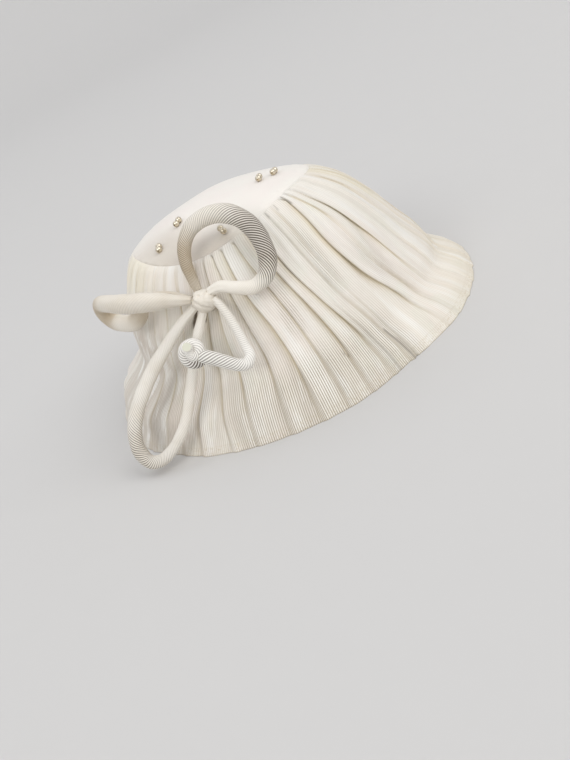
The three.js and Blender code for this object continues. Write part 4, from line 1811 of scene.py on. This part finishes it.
    @staticmethod
    def _cut_end(points: np.ndarray, middle: np.ndarray, forward: np.ndarray) -> np.ndarray:
        """Adds two rows: the cut edge of the cloth, and the filling just inside it."""
        rim = points[-1] + 0.25 * forward - 0.03 * (points[-1] - middle)
        return np.concatenate([points, rim[None], rim[None] - 0.08 * (rim - middle)])


# in these tables the fifth column also deepens the painted shade between the cords, and the sixth lays soil
# with painted shade on shaded sides, or pales the silk below 0
TOP_LOOP = (
    Station(2.9, 4.6, 1.4, 2.5, 0.5, 0.8),
    Station(7.1, 12.0, 2.6, 3.1, 0.6, 0.95),
    Station(12.4, 20.0, 2.8, 3.6, 0.62, 1.05),
    Station(19.5, 26.6, 1.6, 4.0, 0.6, 0.95),
    Station(28.8, 29.5, 0.4, 4.6, 0.5, 0.3),
    Station(37.4, 26.4, 0, 5.2, 0.42),
    Station(44.2, 19.4, 0, 5.5, 0.5),
    Station(47.6, 9.6, 0, 5.4, 0.85),
    Station(47.2, -1.1, 0, 5.2, 1, 0.15),
    Station(43.3, -11.3, 0, 5.1, 1, 0.3),
    Station(37.5, -19.3, 0, 5.0, 1, 0.35),
    Station(29.5, -23.4, 0, 4.6, 0.8, 0.1),
    Station(21.6, -21.3, 0.4, 4.0, 0.1),
    Station(16.0, -13.6, 1.6, 3.7, 0),
    Station(11.6, -5.6, 2.4, 3.2, 0),
    Station(5.7, -1.2, 1.9, 2.5, 0),
)
LOWER_LOOP = (
    Station(4.9, -3.1, 0.8, 2.3, 0),
    Station(16.6, -7.8, 1.2, 3.0, 0.05),
    Station(31.9, -12.8, 0.6, 3.7, 0.1),
    Station(47.8, -17.1, 0, 4.2, 0.1),
    Station(62.4, -19.0, 0, 4.4, 0.12),
    Station(76.3, -19.1, 0, 4.4, 0.35),
    Station(87.7, -16.2, 0, 4.4, 0.65, 0.15),
    Station(95.6, -9.8, 0, 4.4, 0.8, 0.3),
    Station(98.2, -0.4, 0, 4.1, 0.75, 0.2),
    Station(94.0, 6.6, 0, 3.6, 0.55),
    Station(85.4, 11.2, 0, 3.2, 0.35),
    Station(74.3, 13.5, 0, 3.1, 0.2),
    Station(62.6, 13.3, 0, 3.1, 0.15),
    Station(51.5, 11.1, 0, 3.1, 0.1),
    Station(40.7, 8.3, -0.4, 3.0, 0.1),
    Station(30.0, 5.5, -0.8, 3.0, 0.1),
    Station(19.1, 3.6, -0.4, 2.9, 0.1),
    Station(5.5, 2.0, -0.4, 2.4, 0),
)
LEFT_LOOP = (
    Station(4.6, -4.2, 2.1, 2.3, 0, 0.6),
    Station(10.4, -7.2, 3.8, 3.6, 0.03, 0.5),
    Station(18.6, -11, 5.8, 5.1, 0.05, 0.4),
    Station(28, -13, 7.4, 6, 0.06, 0.42),
    Station(38, -12.2, 7.4, 6.2, 0.08, 0.42),
    Station(48, -9.8, 5.8, 6, 0.08, 0.42),
    Station(57.5, -7, 3.6, 5.6, 0.05, 0.45),
    Station(65, -2.8, 1.4, 5, 0, 0.95),
    Station(69.2, 2.9, 0.8, 4.7, 0, 1.3),
    Station(69.6, 8.4, 1.8, 5, 0, 1.2),
    Station(65.8, 13.0, 3.6, 5.5, 0, 0.7),
    Station(58.6, 13.8, 4.8, 5.7, 0, 0.2),
    Station(51, 12.2, 5, 5.4, 0, 0.3),
    Station(44.8, 7.6, 3.6, 4.8, 0, 0.75),
    Station(39.6, 1.8, 0.6, 4, 0, 0.8),
    Station(31, -2, -2.2, 3.2, 0, 0.7),
    Station(21, -2.4, -2.6, 2.8, 0, 0.6),
    Station(6.6, 0.2, -1.2, 2.2, 0, 0.6),
)
TAIL = (
    Station(6.4, -1.4, 0.9, 2.1, 0.2),
    Station(8.6, -5.4, 0.6, 2.4, 0.25),
    Station(10.9, -12.4, 0.4, 2.5, 0.3, -0.2),
    Station(13.1, -22.3, 0, 2.5, 0.32, -0.4),
    Station(14.6, -31.3, -0.3, 2.6, 0.3, -0.6),
    Station(15.4, -36.6, 0.2, 2.9, 0.28, -0.8),
    Station(12.8, -40.0, 0.9, 3.2, 0.42, -0.9),
    Station(8.4, -39.4, 2.2, 3.4, 0.58, -0.9),
    Station(3.6, -36.2, 4.4, 3.6, 0.65, -0.9),
    Station(-1.2, -32.6, 6.8, 3.7, 0.65, -0.9),
    Station(-4.9, -30.2, 8.6, 3.7, 0.68, -0.9),
    Station(-8.2, -28.4, 9.6, 3.4, 0.68, -0.9),
)
TAIL_KNOT = (
    Station(-6.4, -29.6, 7.6, 2.9, 0.88, -0.8),
    Station(-8.8, -30.2, 7.7, 3.3, 0.98, -0.8),
    Station(-11.6, -30.6, 7.8, 3.4, 0.98, -0.8),
    Station(-14.3, -29.9, 7.9, 3.4, 0.83, -0.8),
    Station(-16.3, -28.0, 8.0, 3.3, 0.63, -0.8),
    Station(-17.0, -25.3, 8.1, 3.3, 0.53, -0.8),
    Station(-16.0, -22.6, 8.2, 3.3, 0.43, -0.8),
    Station(-13.5, -21.0, 8.3, 3.3, 0.38, -0.8),
    Station(-10.6, -21.1, 8.5, 3.3, 0.33, -0.8),
    Station(-8.3, -22.9, 8.8, 3.3, 0.38, -0.8),
    Station(-7.8, -25.6, 9.2, 3.3, 0.48, -0.8),
    Station(-9.4, -27.6, 9.6, 3.1, 0.53, -0.8),
    Station(-11.7, -27.3, 10.2, 3.0, 0.48, -0.8),
    Station(-12.4, -25.2, 11.0, 2.8, 0.43, -0.8),
    Station(-12.0, -23.3, 12.2, 2.7, 0.38, -0.8),
    Station(-11.6, -22.4, 13.6, 2.6, 0.33, -0.8),
    Station(-11.4, -22.1, 14.8, 2.5, 0.28, -0.8),
)
TUBES = (
    SilkTube("top_loop_tubing", "bow_loop_top", BowPlane(-60, 40, 38.4), TOP_LOOP,
             around=136, step=0.42, cord_starts=17),
    SilkTube("lower_loop_tubing", "bow_loop_lower", BowPlane(-75, 33, -124.3), LOWER_LOOP,
             around=112, step=0.45, cord_starts=14),
    SilkTube("left_loop_tubing", "bow_loop_left", BowPlane(-83, -28, 167.8), LEFT_LOOP, cord_starts=18),
    SilkTube("tail_tubing", "bow_tail", BowPlane(-60, 30, 0), TAIL, Ending.CUT,
             around=88, step=0.35, cord_starts=11, gather_reach=4.0),
)
TAIL_END = SilkTube("tail_knot_wraps", "tail_knot", BowPlane(-60, 30, 0), TAIL_KNOT, Ending.CUT,
                    around=88, step=0.3, cord_starts=11, gather_reach=0.001, thickness=0.95)


# ---- The bow ------------------------------------------------------------------------------------------


@dataclass(frozen=True)
class Furrow:
    """A furrow between the knot's wraps: its place and slant on the ball, and its depth."""

    across: float
    lean: float
    depth: float


@dataclass(frozen=True)
class PulledKnot:
    """The small pulled-up knot, a ball of soft wraps with a dimple between them."""

    plane: BowPlane = BowPlane(-66, 33, 20)
    rings: int = 56
    around: int = 72
    pole: float = 0.02
    half_sizes: tuple[float, float, float] = (6.9, 6.6, 7.8)
    middle: tuple[float, float, float] = (0.5, -0.4, -0.7)
    furrows: tuple[Furrow, ...] = (
        Furrow(-0.34, 0.35, 0.15),
        Furrow(0.40, 1.1, 0.10),
        Furrow(0.55, -0.5, 0.08),
    )
    furrow_width: float = 0.10
    dimple: tuple[float, float] = (0.12, 0.25)
    dimple_width: float = 0.15
    dimple_depth: float = 0.16
    cord_starts: int = 14
    cord_run: float = 0.006
    soil_and_shade: float = 0.32
    fill: float = 0.9

    def _swell(self, ball: np.ndarray) -> np.ndarray:
        """How the wraps swell and sink, as a share of the ball's radius.

        Args:
            ball: Points on a ball of radius 1.

        Returns:
            The radius at each point.
        """
        x, y, z = ball[..., 0], ball[..., 1], ball[..., 2]
        lumps = 0.05 * np.cos(2.6 * x + 1.9 * y + 0.6) + 0.04 * np.cos(4.1 * y - 2.2 * x + 2.0)
        lumps = lumps + 0.018 * np.cos(11 * x + 3 * y) * np.cos(9 * y - 2 * x + 1.3)
        swell = 1 + lumps * smoothstep(z, -0.4, 0.4)
        for furrow in self.furrows:
            cosine, sine = math.cos(furrow.lean), math.sin(furrow.lean)
            line = x * cosine + y * sine - furrow.across - 0.25 * (y * cosine) ** 2
            swell = swell - furrow.depth * bell(line, self.furrow_width) * smoothstep(z, -0.1, 0.4)
        dimple = bell(np.hypot(x - self.dimple[0], y - self.dimple[1]), self.dimple_width)
        return swell - self.dimple_depth * dimple * smoothstep(z, 0.3, 0.8)

    def build(self, form: HatForm, knot: np.ndarray, material: Material) -> Piece:
        """Makes the knot.

        Args:
            form: The hat's form.
            knot: The middle of the bow in the hat's own frame.
            material: The tubing's finish.

        Returns:
            The knot as one closed piece.
        """
        rise = np.linspace(self.pole, math.pi - self.pole, self.rings)[:, None]
        turn = np.arange(self.around)[None, :] * 2 * math.pi / self.around
        ball = [np.sin(rise) * np.cos(turn), np.sin(rise) * np.sin(turn), np.cos(rise) + 0 * turn]
        ball = np.stack(ball, axis=-1)
        points = self.plane.point(ball * self._swell(ball)[..., None] * self.half_sizes + self.middle)
        across = np.arange(self.around + 1)[None, :] * self.cord_starts / self.around
        uv = np.stack(np.broadcast_arrays(across, rise * self.cord_run), axis=-1)
        clean = np.ones((self.rings, self.around))
        values = {"opened": 0 * clean, "corded": clean, "soil_and_shade": self.soil_and_shade * clean}
        piece = Grid(form.to_part(points + knot), uv, False, values).build("knot_wraps")
        stand_for(piece, "bow_knot", material)
        return piece


@dataclass
class Bow:
    """The bow: three loops and a tail of silk tubing round one knot, and the tail's own knot.

    `centre` is the azimuth, the radius and the height of the knot.
    """

    form: HatForm
    finish: TubingSilk = TubingSilk()
    centre: tuple[float, float, float] = (-66.4, 87.8, 76.5)
    parts: tuple[SilkTube | PulledKnot, ...] = (*TUBES, PulledKnot(), TAIL_END)

    def build(self) -> list[Piece]:
        """Makes the tubes and both knots as closed pieces, all in one material."""
        material, knot = self.finish.make(), self.form.on_compass(*self.centre)
        return [part.build(self.form, knot, material) for part in self.parts]


# ---- The beads ----------------------------------------------------------------------------------------


@dataclass(frozen=True)
class BeadPlace:
    """The middle of a pair of beads on the plan, and the way that the pair points."""

    x: float
    y: float
    turn: float


BEAD_PAIRS = (
    BeadPlace(11.2, -24.0, 30),
    BeadPlace(-31.4, 11.0, 10),
    BeadPlace(-52.6, 11.7, 37),
    BeadPlace(-42.8, -33.4, 60),
    BeadPlace(21.7, -27.3, 20),
)


def hat_axis() -> tuple[float, float]:
    """Reads the place of the hat's axis off the first pair of beads.

    Returns:
        Its x and y in the part's frame, in millimetres.
    """
    low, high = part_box("bead_pair_1")
    first = BEAD_PAIRS[0]
    return ((low.x + high.x) / 2 / MM - first.x, (low.y + high.y) / 2 / MM - first.y)


@dataclass
class Beads:
    """Pairs of small round metal beads sewn to the cap.

    `mouth_from` is the share of the radius beyond which a bead's faces belong to the mouth of its hole,
    and `lip`, `sunk` and `bore` are the mouth's rounded lip, how far it is sunk, and how deep it goes on.
    """

    form: HatForm
    places: tuple[BeadPlace, ...] = BEAD_PAIRS
    radius: float = 1.95
    spacing: float = 3.7
    lift: float = 0.05
    segments: int = 28
    rings: int = 18
    mouth_from: float = 0.955
    lip: float = 0.12
    sunk: float = 0.35
    bore: float = 0.6
    smooth_below: float = 50

    def _one_bead(self) -> Piece:
        """A bead at the origin, bored along X from both sides, with rounded mouths.

        Returns:
            The pattern bead, to be copied.
        """
        deselect_everything()
        sizes = {"segments": self.segments, "ring_count": self.rings, "radius": self.radius * MM}
        bpy.ops.mesh.primitive_uv_sphere_add(**sizes, rotation=(0, math.pi / 2, 0))
        bead = bpy.context.object
        apply_placement(bead)
        bpy.ops.object.mode_set(mode="EDIT")
        bpy.ops.mesh.select_mode(type="FACE")
        for way in (-1, 1):
            self._select_mouth(bead, way)
            bpy.ops.mesh.inset(thickness=self.lip * MM)
            bpy.ops.transform.translate(value=(-way * self.sunk * MM, 0, 0))
            bpy.ops.mesh.extrude_region_move(TRANSFORM_OT_translate={"value": (-way * self.bore * MM, 0, 0)})
        bpy.ops.object.mode_set(mode="OBJECT")
        bpy.ops.object.shade_smooth_by_angle(angle=math.radians(self.smooth_below))
        return bead

    def _select_mouth(self, bead: Piece, way: int) -> None:
        """Selects only the faces round one end of the hole, in edit mode.

        Args:
            bead: The bead.
            way: 1 for the end towards X, and -1 for the other one.
        """
        bpy.ops.mesh.select_all(action="DESELECT")
        shell = bmesh.from_edit_mesh(bead.data)
        for face in shell.faces:
            if way * face.calc_center_median().x > self.mouth_from * self.radius * MM:
                face.select_set(True)
        shell.select_flush_mode()
        bmesh.update_edit_mesh(bead.data)

    def _pair(self, pattern: Piece, number: int, place: BeadPlace) -> Piece:
        """Copies the bead twice and sets the copies side by side on the cap.

        Args:
            pattern: The bead to copy.
            number: The pair's number.
            place: Where the pair sits.

        Returns:
            The pair as one piece.
        """
        turn = math.radians(place.turn)
        both = bmesh.new()
        for way in (-0.5, 0.5):
            x = place.x + way * self.spacing * math.cos(turn)
            y = place.y + way * self.spacing * math.sin(turn)
            z = self.form.cap_height(x, y) + self.radius + self.lift
            spot = Vector(self.form.to_part(np.array([x, y, z])))
            copy = pattern.data.copy()
            copy.transform(Matrix.Translation(spot) @ Matrix.Rotation(turn, 4, "Z"))
            both.from_mesh(copy)
            bpy.data.meshes.remove(copy)
        mesh = bpy.data.meshes.new(f"beads_{number}")
        both.to_mesh(mesh)
        both.free()
        return add_to_scene(f"beads_{number}", mesh)

    def build(self) -> list[Piece]:
        """Copies the bead to every place, two to a pair.

        Returns:
            One piece for each pair.
        """
        pattern = self._one_bead()
        material = BeadMetal().make()
        pairs = [self._pair(pattern, number, place) for number, place in enumerate(self.places, start=1)]
        for number, pair in enumerate(pairs, start=1):
            stand_for(pair, f"bead_pair_{number}", material)
        bpy.data.objects.remove(pattern)
        return pairs


# ---- The studio ---------------------------------------------------------------------------------------


def towards(azimuth: float, elevation: float) -> Vector:
    """The direction from the hat to a place on the compass."""
    turn, rise = math.radians(azimuth), math.radians(elevation)
    return Vector((math.sin(turn) * math.cos(rise), -math.cos(turn) * math.cos(rise), math.sin(rise)))


@dataclass(frozen=True)
class SoftBox:
    """A square soft light, aimed at the hat."""

    name: str
    azimuth: float
    elevation: float
    distance: float
    size: float
    power: float
    tint: tuple[float, float, float] = (1.0, 1.0, 1.0)

    def hang(self, height: float) -> None:
        """Hangs the light.

        Args:
            height: How high over the floor the point lies that it is aimed at.
        """
        data = bpy.data.lights.new(self.name, "AREA")
        data.size = self.size
        data.energy = self.power
        data.color = self.tint
        light = add_to_scene(self.name, data)
        way = towards(self.azimuth, self.elevation)
        light.location = way * self.distance + Vector((0, 0, height))
        light.rotation_euler = (-way).to_track_quat("-Z", "Y").to_euler()


@dataclass
class Studio:
    """The camera, the lights and the pale floor that curves up into a backdrop, in metres and degrees.

    `gaze` is the place of the hat's middle in the camera's view, to the right of the view's own middle
    and above it, for each metre that the hat is away.
    """

    azimuth: float = -43.0
    elevation: float = 19.4
    roll: float = -27.5
    distance: float = 0.556
    height: float = 0.05
    lens: float = 41.2105
    sensor: float = 36.0
    clip: tuple[float, float] = (0.01, 50)
    gaze: tuple[float, float] = (-0.029885, 0.129885)
    floor_reach: float = 2.4
    floor_sides: int = 96
    bowl: float = 2.4
    bowl_steps: int = 12
    air: Colour = (0.93, 0.95, 1.0, 1)
    air_strength: float = 0.73
    boxes: tuple[SoftBox, ...] = (
        SoftBox("key_light", 15, 42, 5.8, 4.6, 150.0, (1.0, 0.985, 0.96)),
        SoftBox("fill_light", -80, 33, 6.0, 3.6, 132.0, (1.0, 0.995, 0.985)),
        SoftBox("back_light", 165, 55, 6.0, 4.0, 40.0, (0.98, 0.985, 1.0)),
    )

    def _build_camera(self) -> None:
        """Sets the camera up at the hat's side, turned a little on its own axis."""
        low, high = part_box("pleated_skirt")
        target = Vector(((low.x + high.x) / 2, (low.y + high.y) / 2, self.height))
        back = towards(self.azimuth, self.elevation)
        right = Vector((math.cos(math.radians(self.azimuth)), math.sin(math.radians(self.azimuth)), 0))
        upward = back.cross(right)
        cosine, sine = math.cos(math.radians(self.roll)), math.sin(math.radians(self.roll))
        rolled = Matrix((cosine * right + sine * upward, cosine * upward - sine * right, back))
        gaze = Vector((*self.gaze, -1)).normalized()
        view = Vector((0, 0, -1)).rotation_difference(gaze).to_matrix() @ rolled
        data = bpy.data.cameras.new("camera")
        data.sensor_width = self.sensor
        data.lens = self.lens
        data.clip_start, data.clip_end = self.clip
        camera = add_to_scene("camera", data)
        camera.matrix_world = Matrix.Translation(target + self.distance * back) @ view.transposed().to_4x4()
        bpy.context.scene.camera = camera

    def _fill_room(self) -> None:
        """Fills the room with pale light."""
        world = bpy.data.worlds.new("pale_room")
        world.use_nodes = True
        background = world.node_tree.nodes["Background"]
        background.inputs["Color"].default_value = self.air
        background.inputs["Strength"].default_value = self.air_strength
        bpy.context.scene.world = world
        bpy.context.scene.view_settings.view_transform = "Standard"

    def _build_floor(self) -> None:
        """Draws a flat disc out and up into a bowl, so that no edge shows behind the hat."""
        deselect_everything()
        sizes = {"vertices": self.floor_sides, "radius": self.floor_reach}
        bpy.ops.mesh.primitive_circle_add(**sizes, fill_type="NGON")
        floor = bpy.context.object
        floor.name = "floor"
        bpy.ops.object.mode_set(mode="EDIT")
        bpy.ops.mesh.select_mode(type="EDGE")
        bpy.ops.mesh.select_all(action="SELECT")
        reach = self.floor_reach
        angles = [math.radians(90 / self.bowl_steps * number) for number in range(self.bowl_steps + 1)]
        for last, angle in zip(angles, angles[1:]):
            rise = self.bowl * (math.cos(last) - math.cos(angle))
            bpy.ops.mesh.extrude_edges_move(TRANSFORM_OT_translate={"value": (0, 0, rise)})
            scale = (self.floor_reach + self.bowl * math.sin(angle)) / reach
            bpy.ops.transform.resize(value=(scale, scale, 1), center_override=(0, 0, 0))
            reach *= scale
        bpy.ops.object.mode_set(mode="OBJECT")
        bpy.ops.object.shade_smooth()
        dress(floor, PaleFloor().make())

    def build(self) -> None:
        """Sets up the camera, the lights and the floor."""
        self._build_camera()
        for box in self.boxes:
            box.hang(self.height)
        self._fill_room()
        self._build_floor()


# ---- Making the hat -----------------------------------------------------------------------------------


def report(piece: Piece) -> None:
    """Names a finished piece and counts its faces."""
    LOG.info("%s: %d faces", piece.name, len(piece.data.polygons))


def main() -> None:
    """Builds the studio, then the hat piece by piece."""
    logging.basicConfig(level=logging.INFO, format="%(name)s: %(message)s")
    Studio().build()
    form = HatForm(hat_axis())
    tucks = tuple(reversed(FRONT_TUCKS + BackTucks().lay()))
    report(PleatedSkirt(form, tucks).build())
    report(CrownCap(form).build())
    for piece in Bow(form).build() + Beads(form).build():
        report(piece)


if __name__ == "__main__":
    main()
